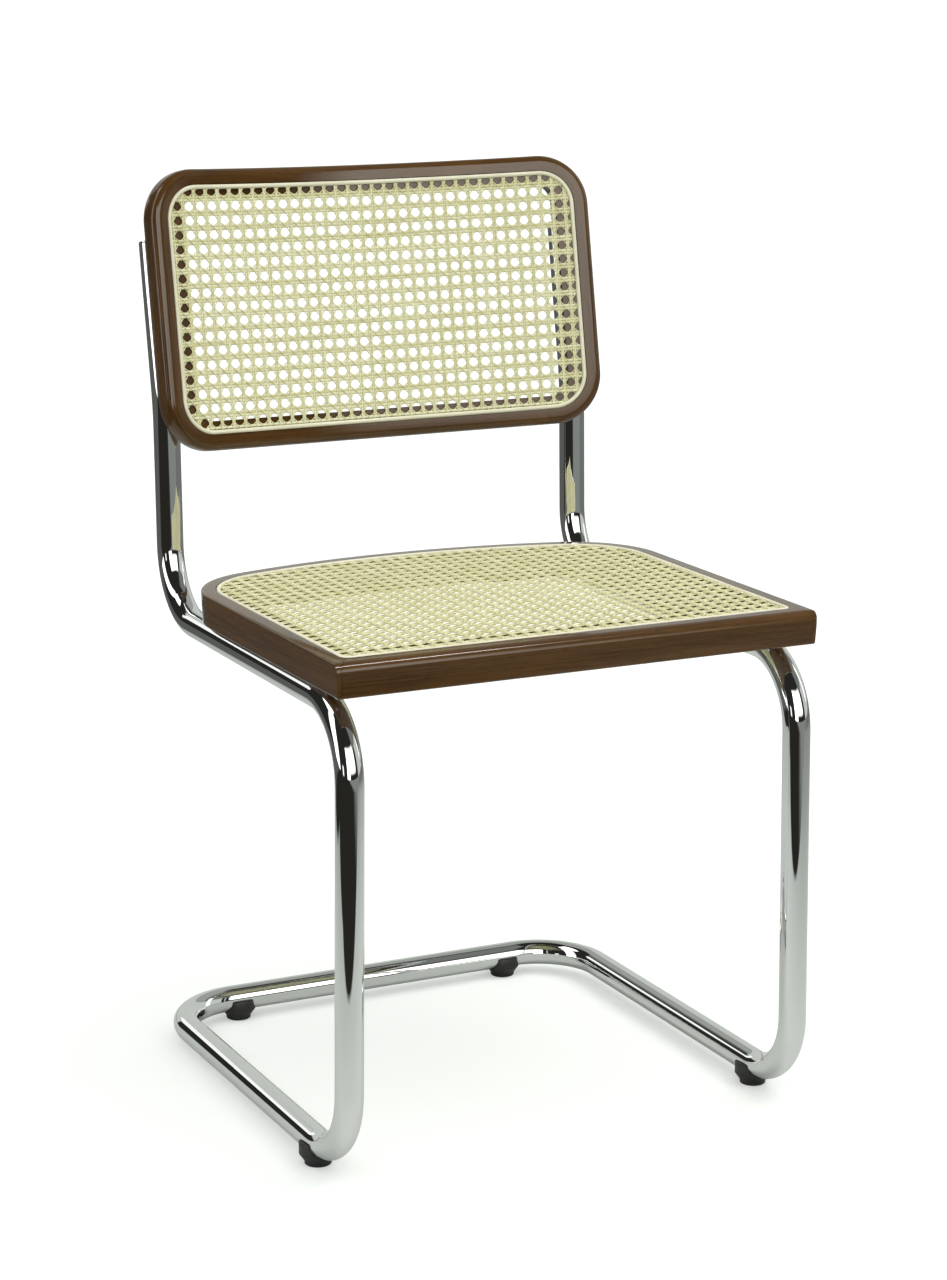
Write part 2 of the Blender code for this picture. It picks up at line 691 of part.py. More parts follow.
def cane_net(name, width, depth, centre_y, limit):
    """A flat net of square gaps, each inside the limit, as a sheet that a Solidify thickens."""
    columns = max(2, round(width / CANE_GAP_PITCH))
    rows = max(2, round(depth / CANE_GAP_PITCH))
    pitch_x = (width - 2 * CANE_MARGIN + CANE_STRAND) / columns
    pitch_y = (depth - 2 * CANE_MARGIN + CANE_STRAND) / rows
    work = bmesh.new()
    bmesh.ops.create_grid(work, x_segments=columns + 2, y_segments=rows + 2, size=0.5)
    stretch = Matrix.Diagonal((pitch_x * (columns + 2), pitch_y * (rows + 2), 1.0, 1.0))
    place = Matrix.Translation((0.0, centre_y, 0.0)) @ stretch
    bmesh.ops.transform(work, matrix=place, verts=work.verts)
    cells = []
    for cell in work.faces:
        middle = cell.calc_center_median()
        shrink = (1 - CANE_STRAND / pitch_x, 1 - CANE_STRAND / pitch_y, 0.0)
        gap = [middle + (v.co - middle) * Vector(shrink) for v in cell.verts]
        if all(inside(corner, limit) for corner in gap):
            cells.append(cell)
    bmesh.ops.inset_individual(work, faces=cells, thickness=CANE_STRAND / 2)
    bmesh.ops.delete(work, geom=cells, context="FACES")
    mesh = bpy.data.meshes.new(name)
    work.to_mesh(mesh)
    work.free()
    net = bpy.data.objects.new(name, mesh)
    sheet = net.modifiers.new("thickness", "SOLIDIFY")
    sheet.thickness = CANE_THICKNESS
    sheet.offset = 0.0
    return net


def build_seat_cane():
    side = SEAT_SIDE_LAND + SPLINE_WIDTH + GAP
    front = SEAT_FRONT_LAND + SPLINE_WIDTH + GAP
    corner = SPLINE_CORNER_RADIUS - SPLINE_WIDTH / 2 - GAP
    trim = prism("seat_cane_trim", seat_plan(side, front, corner), -OVERRUN, OVERRUN)
    limit = seat_plan(side + CANE_MARGIN / 2, front + CANE_MARGIN / 2, corner)
    width = SEAT_WIDTH - 2 * side
    depth = SEAT_DEPTH - side - front
    cane = cane_net("seat_cane", width, depth, SEAT_FRONT_Y + front + depth / 2, limit)
    level = SEAT_HEIGHT - CANE_BELOW_LAND - CANE_THICKNESS / 2
    for piece in (cane, trim):
        piece.location = (0.0, 0.0, level)
    cut(cane, "INTERSECT", as_cutter(trim, CUTTERS))
    return as_part(cane, CANE)


def build_seat_spline():
    spline = swept("seat_spline", seat_spline_path(), spline_section(SEAT_HEIGHT), cyclic=True)
    return shade(as_part(spline, SPLINE))


# Back. Its pieces are laid out flat, stood up and then bent together round one axis.

STAND_UP = Matrix.Rotation(math.pi / 2, 4, "X")


def back_axis():
    """The empty that carries the whole back at its recline."""
    empty = bpy.data.objects.new("back_axis", None)
    CHAIR.objects.link(empty)
    empty.location = (0.0, BACK_Y, BACK_Z)
    empty.rotation_euler = (-RECLINE, 0.0, 0.0)
    return empty


def back_plan(inset):
    """Flat outline of the back, moved inward, with stations on its level runs, which are bent."""
    half_w = BACK_WIDTH / 2 - inset
    half_h = BACK_HEIGHT / 2 - inset
    corner = BACK_CORNER_RADIUS - inset
    quarter = math.pi / 2
    centres = [(1, -1, -quarter), (1, 1, 0.0), (-1, 1, quarter), (-1, -1, 2 * quarter)]
    points = []
    for side, end, start in centres:
        x = side * (half_w - corner)
        y = end * (half_h - corner)
        turn = arc(x, y, corner, start, start + quarter, CORNER_STEPS)
        points += stations(points[-1], turn[0]) if points else []
        points += turn
    return points + stations(points[-1], points[0])


def stations(start, end):
    """Points between the ends of a level run, no further apart than the bending needs."""
    count = max(1, math.ceil(abs(end.x - start.x) / BACK_STATION))
    return [start.lerp(end, step / count) for step in range(1, count)]


def bend(obj, width):
    """Bends a stood-up piece to the back's curve, its ends coming forward."""
    bow = obj.modifiers.new("bend", "SIMPLE_DEFORM")
    bow.deform_method = "BEND"
    bow.deform_axis = "Z"
    bow.angle = -width / BACK_CURVE_RADIUS
    return obj


def hoop_section():
    """Bentwood hoop: rounded outside, flat land, groove for the spline and a ledge for the cane."""
    front = BACK_FACE
    rear = -BACK_FACE
    run = BACK_LAND - BACK_FLAT_LAND
    groove_out = BACK_LAND - GAP
    groove_in = BACK_LAND + SPLINE_WIDTH + GAP
    inner = BACK_LAND + SPLINE_WIDTH + LEDGE_WIDTH
    ledge = front - LEDGE_DEPTH
    bottom = front - GROOVE_DEPTH
    points = []
    for step in range(CORNER_STEPS + 1):
        angle = math.pi / 2 * step / CORNER_STEPS
        points.append((run * (1 - math.cos(angle)), front * math.sin(angle)))
    points += [(groove_out, front), (groove_out, bottom), (groove_in, bottom), (groove_in, ledge)]
    points += [(inner, ledge), (inner, rear + BACK_INNER_EDGE), (inner - BACK_INNER_EDGE, rear)]
    for step in range(EDGE_STEPS + 1):
        angle = math.pi / 2 * step / (EDGE_STEPS + 1)
        across = BACK_REAR_ROUNDING * (1 - math.sin(angle))
        points.append((across, rear * math.cos(angle)))
    return points


def build_back(axis):
    hoop = swept("back_hoop", back_plan(0.0), hoop_section(), True, STAND_UP)
    bend(hoop, BACK_WIDTH)
    cut(hoop, "DIFFERENCE", HOOP_CUTTERS)
    shade(as_part(hoop, WOOD, axis))

    middle = BACK_LAND + SPLINE_WIDTH / 2
    spline = swept("back_spline", back_plan(middle), spline_section(BACK_FACE), True, STAND_UP)
    bend(spline, BACK_WIDTH - 2 * BACK_LAND)
    shade(as_part(spline, SPLINE, axis))

    inset = BACK_LAND + SPLINE_WIDTH + GAP
    width = BACK_WIDTH - 2 * inset
    height = BACK_HEIGHT - 2 * inset
    limit = back_plan(inset + CANE_MARGIN / 2)
    cane = cane_net("back_cane", width, height, 0.0, limit)
    level = BACK_FACE - CANE_BELOW_LAND - CANE_THICKNESS / 2
    cane.data.transform(STAND_UP @ Matrix.Translation((0.0, 0.0, level)))
    trim = prism("back_cane_trim", back_plan(inset), -BACK_FACE, BACK_THICKNESS, STAND_UP)
    trim.parent = axis
    cut(cane, "INTERSECT", as_cutter(trim, CUTTERS))
    bend(cane, width)
    as_part(cane, CANE, axis)


# Screws


def screw_profile(length):
    """A pan-headed screw with its seat at z = 0 and its point up."""
    return [
        (0.0, length),
        (SCREW_RADIUS, length - SCREW_TIP),
        (SCREW_RADIUS, 0.0),
        (SCREW_HEAD_RADIUS, 0.0),
        (SCREW_HEAD_RADIUS, -SCREW_HEAD_EDGE),
        (SCREW_HEAD_FLAT, -SCREW_HEAD_HEIGHT),
        (0.0, -SCREW_HEAD_HEIGHT),
    ]


def build_screw(name, place, rotation, length, cutters, parent=None):
    """A screw with its head at the place given, and the hole that clears it in both pieces."""
    screw = turned(name, screw_profile(length), SCREW_STEPS)
    hole_radius = SCREW_RADIUS + GAP
    hole = rod(name + "_hole", hole_radius, -OVERRUN, length + GAP, SCREW_STEPS)
    for piece in (screw, hole):
        piece.location = place
        piece.rotation_euler = rotation
        piece.parent = parent
    as_cutter(hole, TUBE_CUTTERS, cutters)
    return shade(as_part(screw, SCREW_STEEL, parent))


def seat_run_x(setback):
    """Centre of the seat run this far behind the front legs, on the right side."""
    share = setback / (UPRIGHT_Y - FRONT_LEG_Y)
    return SEAT_RUN_X_FRONT + (SEAT_RUN_X_REAR - SEAT_RUN_X_FRONT) * share


def build_seat_screws():
    """Heads inside the tube, each over a hole that lets the driver in from below."""
    bore_flat = (TUBE_RADIUS - TUBE_WALL) * math.cos(math.pi / BORE_SIDES) - GAP
    rise = math.sqrt(bore_flat**2 - SCREW_HEAD_RADIUS**2)
    length = TUBE_RADIUS - rise + GAP + SEAT_THICKNESS - SCREW_COVER
    below_tube = -TUBE_RADIUS - OVERRUN
    front = BEND_RADIUS + SEAT_SCREW_BEHIND_BEND
    upright = (0.0, 0.0, 0.0)
    for side, word in ((-1, "left"), (1, "right")):
        for row, setback in (("front", front), ("rear", front + SEAT_SCREW_SPACING)):
            name = f"seat_screw_{row}_{word}"
            x = side * seat_run_x(setback)
            y = FRONT_LEG_Y + setback
            build_screw(name, (x, y, SEAT_RUN_Z + rise), upright, length, BOW_CUTTERS)
            access = rod(name + "_access", SCREW_ACCESS_RADIUS, below_tube, 0.0, SCREW_STEPS)
            access.location = (x, y, SEAT_RUN_Z)
            as_cutter(access, TUBE_CUTTERS)


def build_back_screws(axis):
    length = TUBE_DIAMETER + 2 * GAP + BACK_THICKNESS - SCREW_COVER
    reach = BACK_TO_TUBE + TUBE_RADIUS + GAP
    depth = reach * math.cos(TUBE_ANGLE) - BACK_CURVE_RADIUS
    for side, word in ((-1, "left"), (1, "right")):
        turn = (math.pi / 2, 0.0, -side * TUBE_ANGLE)
        for row, end in (("lower", -1), ("upper", 1)):
            place = (side * reach * math.sin(TUBE_ANGLE), depth, end * BACK_SCREW_SPACING / 2)
            name = f"back_screw_{row}_{word}"
            build_screw(name, place, turn, length, HOOP_CUTTERS, axis)


def build_chair():
    axis = back_axis()
    build_tube()
    build_glides()
    build_end_cap("end_cap_left", -1)
    build_end_cap("end_cap_right", 1)
    build_seat_rails()
    build_dowels()
    build_seat_cane()
    build_seat_spline()
    build_back(axis)
    build_seat_screws()
    build_back_screws(axis)


build_chair()
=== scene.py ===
# %% [markdown]
# # A cantilever visitor chair
# One bent steel tube carries a bentwood seat and a curved back, and both hold woven cane.
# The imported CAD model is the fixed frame. It has the right sizes, but coarse facets and a plain
# net where the cane is. Each lesson below builds one piece again in full detail, in the same place,
# and gives it the finish of the real thing.
#
# The frame comes first, because everything else is placed by it.

import math

import bmesh
import bpy
import numpy as np
from mathutils import Euler, Matrix, Vector


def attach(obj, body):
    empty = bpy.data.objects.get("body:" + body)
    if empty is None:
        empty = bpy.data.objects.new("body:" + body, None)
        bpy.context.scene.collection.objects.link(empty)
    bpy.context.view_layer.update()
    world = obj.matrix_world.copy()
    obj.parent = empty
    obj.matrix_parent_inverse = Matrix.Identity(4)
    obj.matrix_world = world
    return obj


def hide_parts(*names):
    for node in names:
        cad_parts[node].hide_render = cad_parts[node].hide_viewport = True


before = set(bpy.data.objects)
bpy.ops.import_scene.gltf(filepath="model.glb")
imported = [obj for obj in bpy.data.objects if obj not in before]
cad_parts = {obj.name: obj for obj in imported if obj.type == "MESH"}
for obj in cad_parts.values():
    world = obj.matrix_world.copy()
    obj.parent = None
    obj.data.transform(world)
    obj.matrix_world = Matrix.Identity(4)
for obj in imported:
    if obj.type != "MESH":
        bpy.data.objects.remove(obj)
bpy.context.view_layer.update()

# %% [markdown]
# ## Sizes
# A scene can't read the CAD source, so the sizes that the pieces share are written here once, in
# metres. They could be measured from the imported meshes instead, but a named size says what it means.

# %% Sizes of the tube, the seat and the back
GAP = 0.0003
REACH = 0.010

TUBE_RADIUS = 0.0125
TUBE_WALL = 0.002
BEND_RADIUS = 0.066
KINK_RADIUS = 0.260
FRONT_LEG_Y = -0.2335
LEG_SPLAY = 0.0045
CROSSBAR_BEHIND_SEAT = 0.0515
RUN_INSIDE_SEAT_FRONT = 0.01475
RUN_INSIDE_SEAT_REAR = 0.01775
UPRIGHT_LEAN = math.radians(1.2)
RECLINE = math.radians(10.3)
GLIDE_DROP = 0.008

SEAT_HEIGHT = 0.4663
SEAT_WIDTH = 0.4625
SEAT_DEPTH = 0.3995
SEAT_THICKNESS = 0.0305
SEAT_BEFORE_LEG = 0.0085
SEAT_FRONT_Y = FRONT_LEG_Y - SEAT_BEFORE_LEG
SEAT_REAR_Y = SEAT_FRONT_Y + SEAT_DEPTH
SEAT_REAR_RADIUS = 0.612
SEAT_CORNER_RADIUS = 0.088
SEAT_CLEAR_OF_UPRIGHT = 0.0072
SEAT_FRONT_CORNER_RADIUS = 0.0025
SEAT_SIDE_LAND = 0.0140
SEAT_FRONT_LAND = 0.0200
SPLINE_WIDTH = 0.0040
SPLINE_GAP = 0.0005
SEAT_SIDE_LEDGE = 0.0146
SEAT_FRONT_LEDGE = 0.0235
LEDGE_DEPTH = 0.0023
GROOVE_DEPTH = 0.0058
SPLINE_PROUD = 0.0007
SPLINE_TALL = 0.0062
SPLINE_ROUND = 0.0018
CANE_LEVEL = 0.00097

BACK_HEIGHT = 0.2634
BACK_FACE = 0.013
BACK_OVERHANG = 0.0233
BACK_CORNER_RADIUS = 0.050
BACK_CURVE_RADIUS = 0.800
BACK_LIFT = 0.1057
BACK_LAND = 0.0162
BACK_SIDE_LEDGE = 0.0145
BACK_END_LEDGE = 0.0085
BACK_EDGE_INSET = 0.0011
BACK_FRONT_ROUND = 0.0070
BACK_REAR_ROUND = 0.0115
KINK_RISE = 0.0442
UPRIGHT_BELOW_TOP = 0.0652

# %% Levels that follow from the sizes
SEAT_UNDERSIDE = SEAT_HEIGHT - SEAT_THICKNESS
SEAT_RUN_Z = SEAT_UNDERSIDE - GAP - TUBE_RADIUS
RUNNER_Z = GLIDE_DROP + TUBE_RADIUS
SEAT_RUN_X_FRONT = SEAT_WIDTH / 2 - RUN_INSIDE_SEAT_FRONT
SEAT_RUN_X_REAR = SEAT_WIDTH / 2 - RUN_INSIDE_SEAT_REAR
RUNNER_X = SEAT_RUN_X_FRONT + LEG_SPLAY
CROSSBAR_Y = SEAT_REAR_Y + CROSSBAR_BEHIND_SEAT
SEAT_SIDE_RAIL = SEAT_SIDE_LAND + SPLINE_WIDTH + SEAT_SIDE_LEDGE
SEAT_FRONT_RAIL = SEAT_FRONT_LAND + SPLINE_WIDTH + SEAT_FRONT_LEDGE

SEAT_ARC_Y = SEAT_REAR_Y - SEAT_REAR_RADIUS
SEAT_CORNER_X = SEAT_WIDTH / 2 - SEAT_CORNER_RADIUS
SEAT_CORNER_Y = SEAT_ARC_Y + math.sqrt((SEAT_REAR_RADIUS - SEAT_CORNER_RADIUS) ** 2 - SEAT_CORNER_X**2)
SEAT_CORNER_END = math.atan2(SEAT_CORNER_Y - SEAT_ARC_Y, SEAT_CORNER_X)

TUBE_INSIDE_X = SEAT_RUN_X_REAR - TUBE_RADIUS - SEAT_CORNER_X
SEAT_OVER_TUBE = SEAT_CORNER_Y + math.sqrt(SEAT_CORNER_RADIUS**2 - TUBE_INSIDE_X**2)
UPRIGHT_Y = SEAT_OVER_TUBE + SEAT_CLEAR_OF_UPRIGHT + BEND_RADIUS

BACK_TO_TUBE = BACK_CURVE_RADIUS + BACK_FACE + GAP + TUBE_RADIUS
TUBE_ANGLE = math.asin(SEAT_RUN_X_REAR / BACK_TO_TUBE)
TUBE_DEPTH = BACK_TO_TUBE * math.cos(TUBE_ANGLE) - BACK_CURVE_RADIUS
BACK_WIDTH = 2 * (BACK_CURVE_RADIUS * TUBE_ANGLE + BACK_OVERHANG)
BACK_Z = SEAT_HEIGHT + BACK_LIFT + BACK_HEIGHT / 2 * math.cos(RECLINE)
KINK_FROM_MIDDLE = KINK_RISE - BACK_HEIGHT / 2
KINK_Z = BACK_Z + KINK_FROM_MIDDLE * math.cos(RECLINE) - TUBE_DEPTH * math.sin(RECLINE)
KINK_Y = UPRIGHT_Y + (KINK_Z - SEAT_RUN_Z) * math.tan(UPRIGHT_LEAN)
BACK_Y = KINK_Y - KINK_FROM_MIDDLE * math.sin(RECLINE) - TUBE_DEPTH * math.cos(RECLINE)
UPRIGHT_ABOVE_KINK = BACK_HEIGHT - UPRIGHT_BELOW_TOP - KINK_RISE
print("upright behind the seat at y =", round(UPRIGHT_Y, 4), "and the back's middle at z =", round(BACK_Z, 4))

# %% [markdown]
# ## Camera
# The camera stands low and a little to the left, as in a catalogue picture. Its place comes from
# fitting a lens to the edges of the chair. Pointing it with a Track To constraint would also do,
# but a rotation worked out once can't drift.

# %% Camera
TARGET = Vector((0.0131, 0.0040, 0.4105))
CAMERA_AZIMUTH = math.radians(-26.0)
CAMERA_ELEVATION = math.radians(13.2)
CAMERA_DISTANCE = 2.8836

direction = Vector(
    (
        math.sin(CAMERA_AZIMUTH) * math.cos(CAMERA_ELEVATION),
        -math.cos(CAMERA_AZIMUTH) * math.cos(CAMERA_ELEVATION),
        math.sin(CAMERA_ELEVATION),
    )
)
camera = bpy.data.objects.new("camera", bpy.data.cameras.new("camera"))
camera.data.lens = 87.64
camera.data.sensor_width = 36.0
camera.data.clip_end = 100.0
camera.location = TARGET + direction * CAMERA_DISTANCE
camera.rotation_euler = (-direction).to_track_quat("-Z", "Y").to_euler()
bpy.context.scene.collection.objects.link(camera)
bpy.context.scene.camera = camera
print("camera at", [round(value, 3) for value in camera.location])

# %% [markdown]
# ## Paths and meshes
# Almost every piece of this chair is a section carried along a path: the tube, the rails, the
# splines and each strand of cane. Blender's curves can do that, but here the rings of points are
# made directly, because then every point can also carry where it lies along the grain.

# %% Paths


def fillet(before, corner, after, radius, steps):
    """Points of the arc that rounds one corner of a path."""
    back = (before - corner).normalized()
    ahead = (after - corner).normalized()
    half = back.angle(ahead) / 2
    centre = corner + (back + ahead).normalized() * (radius / math.sin(half))
    first = corner + back * (radius / math.tan(half)) - centre
    last = corner + ahead * (radius / math.tan(half)) - centre
    sweep = first.angle(last)
    points = []
    for step in range(steps + 1):
        share = step / steps
        weight_first = math.sin((1 - share) * sweep) / math.sin(sweep)
        weight_last = math.sin(share * sweep) / math.sin(sweep)
        points.append(centre + first * weight_first + last * weight_last)
    return points


def rounded(corners, radii, steps, closed):
    """The path through the corners, each rounded by its own radius."""
    count = len(corners)
    path = []
    for index, corner in enumerate(corners):
        at_end = index in (0, count - 1) and not closed
        if at_end or radii[index] == 0:
            path.append(corner)
            continue
        path.extend(fillet(corners[index - 1], corner, corners[(index + 1) % count], radii[index], steps))
    return path


def outline_2d(corners, radii, steps=6):
    """A closed section as an array of (inward, up) pairs."""
    points = [Vector((u, v, 0.0)) for u, v in corners]
    return np.array([(p.x, p.y) for p in rounded(points, radii, steps, closed=True)])


def arc(centre_x, centre_y, radius, start, end, steps):
    """Points of a flat arc, both ends included."""
    angles = np.linspace(start, end, steps + 1)
    return np.column_stack((centre_x + radius * np.cos(angles), centre_y + radius * np.sin(angles)))


def lengths_along(path):
    """How far along the path each of its points lies."""
    steps = np.linalg.norm(np.diff(path, axis=0), axis=1)
    return np.concatenate(([0.0], np.cumsum(steps)))


# %% Rings and meshes


def flat_rings(path, section, closed):
    """The (inward, up) section at each point of a flat path, mitred where the path turns."""
    if closed:
        before = path - np.roll(path, 1, axis=0)
        after = np.roll(path, -1, axis=0) - path
    else:
        steps = np.diff(path, axis=0)
        before = np.vstack((steps[:1], steps))
        after = np.vstack((steps, steps[-1:]))
    before /= np.linalg.norm(before, axis=1, keepdims=True)
    after /= np.linalg.norm(after, axis=1, keepdims=True)
    normals = np.column_stack((-(before + after)[:, 1], (before + after)[:, 0]))
    normals /= np.linalg.norm(normals, axis=1, keepdims=True)
    turned_in = np.column_stack((-after[:, 1], after[:, 0]))
    stretch = 1 / np.sum(normals * turned_in, axis=1, keepdims=True)
    rings = np.zeros((len(path), len(section), 3))
    rings[:, :, :2] = path[:, None, :] + (normals * stretch)[:, None, :] * section[None, :, 0, None]
    rings[:, :, 2] = section[None, :, 1]
    return rings


def mesh_of(name, points, quads, extra_faces=(), attributes=None):
    """A mesh from arrays; each attribute is one vector for each point."""
    mesh = bpy.data.meshes.new(name)
    faces = [tuple(face) for face in quads.tolist()] + [tuple(face) for face in extra_faces]
    mesh.from_pydata(points.tolist(), [], faces)
    for word, values in (attributes or {}).items():
        layer = mesh.attributes.new(word, "FLOAT_VECTOR", "POINT")
        layer.data.foreach_set("vector", np.ascontiguousarray(values, dtype=np.float32).ravel())
    mesh.update()
    return mesh


def ring_quads(count, size, closed):
    """Faces between each ring and the next."""
    ring = np.arange(count if closed else count - 1)[:, None]
    spot = np.arange(size)[None, :]
    after = (ring + 1) % count
    beside = (spot + 1) % size
    corners = (ring * size + spot, ring * size + beside, after * size + beside, after * size + spot)
    return np.stack(np.broadcast_arrays(*corners), axis=-1).reshape(-1, 4)


def piece(name, mesh, sharp_degrees=38):
    """A visible object, smooth where it is round and crisp at real edges."""
    mesh.shade_smooth()
    mesh.set_sharp_from_angle(angle=math.radians(sharp_degrees))
    made = bpy.data.objects.new(name, mesh)
    bpy.context.scene.collection.objects.link(made)
    return made


def from_rings(name, rings, closed, grain=None):
    """A closed solid through the rings, capped at its ends if the path is open."""
    count, size = rings.shape[:2]
    caps = [] if closed else [range(size)[::-1], range((count - 1) * size, count * size)]
    attributes = {"grain": grain.reshape(-1, 3)} if grain is not None else None
    mesh = mesh_of(name, rings.reshape(-1, 3), ring_quads(count, size, closed), caps, attributes)
    work = bmesh.new()
    work.from_mesh(mesh)
    bmesh.ops.recalc_face_normals(work, faces=work.faces)
    work.to_mesh(mesh)
    work.free()
    return piece(name, mesh)


def prism(name, outline, low, high):
    """A flat outline with thickness, as a tool for cutting."""
    flat = np.asarray([(p[0], p[1]) for p in outline])
    section = np.zeros((2, len(flat), 3))
    section[:, :, :2] = flat
    section[0, :, 2] = low
    section[1, :, 2] = high
    return from_rings(name, section, closed=False)


def turned(name, profile, steps):
    """A turned piece: the profile, bottom to top as (radius, height), closed on the Z axis."""
    radii = np.array([max(radius, 1e-5) for radius, _ in profile])
    heights = np.array([height for _, height in profile])
    angles = np.linspace(0, 2 * math.pi, steps, endpoint=False)
    rings = np.zeros((len(profile), steps, 3))
    rings[:, :, 0] = radii[:, None] * np.cos(angles)
    rings[:, :, 1] = radii[:, None] * np.sin(angles)
    rings[:, :, 2] = heights[:, None]
    return from_rings(name, rings, closed=False)


def cut(target, operation, tool, keep_tool=False):
    """Applies one Boolean at once, and removes the tool."""
    modifier = target.modifiers.new("cut", "BOOLEAN")
    modifier.operation = operation
    modifier.solver = "EXACT"
    modifier.object = tool
    bpy.context.view_layer.update()
    graph = bpy.context.evaluated_depsgraph_get()
    mesh = bpy.data.meshes.new_from_object(target.evaluated_get(graph))
    target.modifiers.clear()
    old = target.data
    target.data = mesh
    bpy.data.meshes.remove(old)
    if not keep_tool:
        bpy.data.objects.remove(tool, do_unlink=True)
    return target


def weld(obj, reach=0.00001):
    """Joins points that a cut left a hair apart, so that no seam stays open."""
    work = bmesh.new()
    work.from_mesh(obj.data)
    bmesh.ops.remove_doubles(work, verts=work.verts, dist=reach)
    work.to_mesh(obj.data)
    work.free()
    return obj


def crisp(obj, sharp_degrees=38):
    """Smooth shading again after cutting."""
    obj.data.shade_smooth()
    obj.data.set_sharp_from_angle(angle=math.radians(sharp_degrees))
    return obj


def stands_for(obj, slot, *nodes):
    """Ties a piece to the chair's one body and hides the CAD nodes that it stands for. The slot is not used.
    """
    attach(obj, "root")
    if nodes:
        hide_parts(*nodes)
    return obj


# %% [markdown]
# ## Shared effects
# Wood, cane and raw beech are all made of fibres, and chrome, plastic and screws all gather fine
# scratches and dust. Each of these effects is one shader node group, placed in every material that
# needs it with its own values. A group gives out colours and masks only, and the shader itself
# stays in the material, where an exporter can read it.

# %% Node helpers


def new_group(name, inputs, outputs):
    """An empty node group with its sockets, and its input and output nodes."""
    group = bpy.data.node_groups.new(name, "ShaderNodeTree")
    for word, kind, value in inputs:
        socket = group.interface.new_socket(name=word, in_out="INPUT", socket_type=kind)
        if value is not None:
            socket.default_value = value
    for word, kind in outputs:
        group.interface.new_socket(name=word, in_out="OUTPUT", socket_type=kind)
    return group, group.nodes.new("NodeGroupInput"), group.nodes.new("NodeGroupOutput")


def node(tree, kind, settings=None, **values):
    """A node with its settings and input values; a socket as a value is linked."""
    made = tree.nodes.new(kind)
    for word, value in (settings or {}).items():
        setattr(made, word, value)
    for word, value in values.items():
        key = int(word[1:]) if word.startswith("i") and word[1:].isdigit() else word.replace("_", " ")
        if isinstance(value, bpy.types.NodeSocket):
            tree.links.new(value, made.inputs[key])
        else:
            made.inputs[key].default_value = value
    return made


def math_node(tree, operation, first, second=0.0):
    """The result of one sum of numbers."""
    return node(tree, "ShaderNodeMath", {"operation": operation}, i0=first, i1=second).outputs[0]


def mix_colour(tree, factor, first, second, blend="MIX"):
    """Two colours mixed by a factor."""
    made = node(tree, "ShaderNodeMix", {"data_type": "RGBA", "blend_type": blend})
    for key, value in ((0, factor), (6, first), (7, second)):
        if isinstance(value, bpy.types.NodeSocket):
            tree.links.new(value, made.inputs[key])
        else:
            made.inputs[key].default_value = value
    return made.outputs[2]


def mapped(tree, value, low, high, new_low, new_high):
    """A number moved from one range to another, and kept inside it."""
    made = node(tree, "ShaderNodeMapRange", None, Value=value)
    made.inputs["From Min"].default_value = low
    made.inputs["From Max"].default_value = high
    made.inputs["To Min"].default_value = new_low
    made.inputs["To Max"].default_value = new_high
    return made.outputs[0]


def scaled(tree, vector, scale):
    """A vector stretched on each axis."""
    made = node(tree, "ShaderNodeVectorMath", {"operation": "MULTIPLY"}, i0=vector)
    made.inputs[1].default_value = scale
    return made.outputs[0]


def noise(tree, vector, scale, detail=2.0, roughness=0.5, output=0):
    """Plain noise over a vector."""
    made = node(tree, "ShaderNodeTexNoise", None, Vector=vector, Scale=scale, Detail=detail)
    made.inputs["Roughness"].default_value = roughness
    return made.outputs[output]


# %% Group: fibres
fibres, fibres_in, fibres_out = new_group(
    "fibres",
    [
        ("Vector", "NodeSocketVector", None),
        ("Length", "NodeSocketFloat", 0.05),
        ("Width", "NodeSocketFloat", 0.001),
    ],
    [("Streaks", "NodeSocketFloat"), ("Pores", "NodeSocketFloat"), ("Drift", "NodeSocketFloat")],
)
_split = node(fibres, "ShaderNodeSeparateXYZ", None, Vector=fibres_in.outputs["Vector"])
_along = math_node(fibres, "DIVIDE", _split.outputs[0], fibres_in.outputs["Length"])
_across = math_node(fibres, "DIVIDE", _split.outputs[1], fibres_in.outputs["Width"])
_deep = math_node(fibres, "DIVIDE", _split.outputs[2], fibres_in.outputs["Width"])
_stretched = node(fibres, "ShaderNodeCombineXYZ", None, X=_along, Y=_across, Z=_deep).outputs[0]
_streaks = noise(fibres, _stretched, 1.0, 4.0, 0.6)
_fine = scaled(fibres, _stretched, (5.0, 2.2, 2.2))
_pores = mapped(fibres, noise(fibres, _fine, 1.0, 1.0, 0.5), 0.60, 0.72, 0.0, 1.0)
_slow = scaled(fibres, _stretched, (0.5, 0.12, 0.12))
_drift = noise(fibres, _slow, 1.0, 1.0, 0.5)
fibres.links.new(_streaks, fibres_out.inputs["Streaks"])
fibres.links.new(_pores, fibres_out.inputs["Pores"])
fibres.links.new(_drift, fibres_out.inputs["Drift"])
print("group", fibres.name, "has", len(fibres.nodes), "nodes")

# %% Group: handled surface
handled, handled_in, handled_out = new_group(
    "handled",
    [
        ("Vector", "NodeSocketVector", None),
        ("Clean", "NodeSocketFloat", 0.05),
        ("Dusty", "NodeSocketFloat", 0.1),
    ],
    [("Roughness", "NodeSocketFloat"), ("Haze", "NodeSocketFloat"), ("Speckle", "NodeSocketFloat")],
)
_haze = mapped(handled, noise(handled, handled_in.outputs["Vector"], 9.0, 3.0, 0.6), 0.35, 0.75, 0.0, 1.0)
_speckle = mapped(handled, noise(handled, handled_in.outputs["Vector"], 1400.0, 2.0, 0.6), 0.3, 0.7, 0.0, 1.0)
_range = math_node(handled, "SUBTRACT", handled_in.outputs["Dusty"], handled_in.outputs["Clean"])
_share = math_node(handled, "MULTIPLY", _haze, _speckle)
_step = math_node(handled, "MULTIPLY", _share, _range)
_rough = math_node(handled, "ADD", _step, handled_in.outputs["Clean"])
handled.links.new(_rough, handled_out.inputs["Roughness"])
handled.links.new(_haze, handled_out.inputs["Haze"])
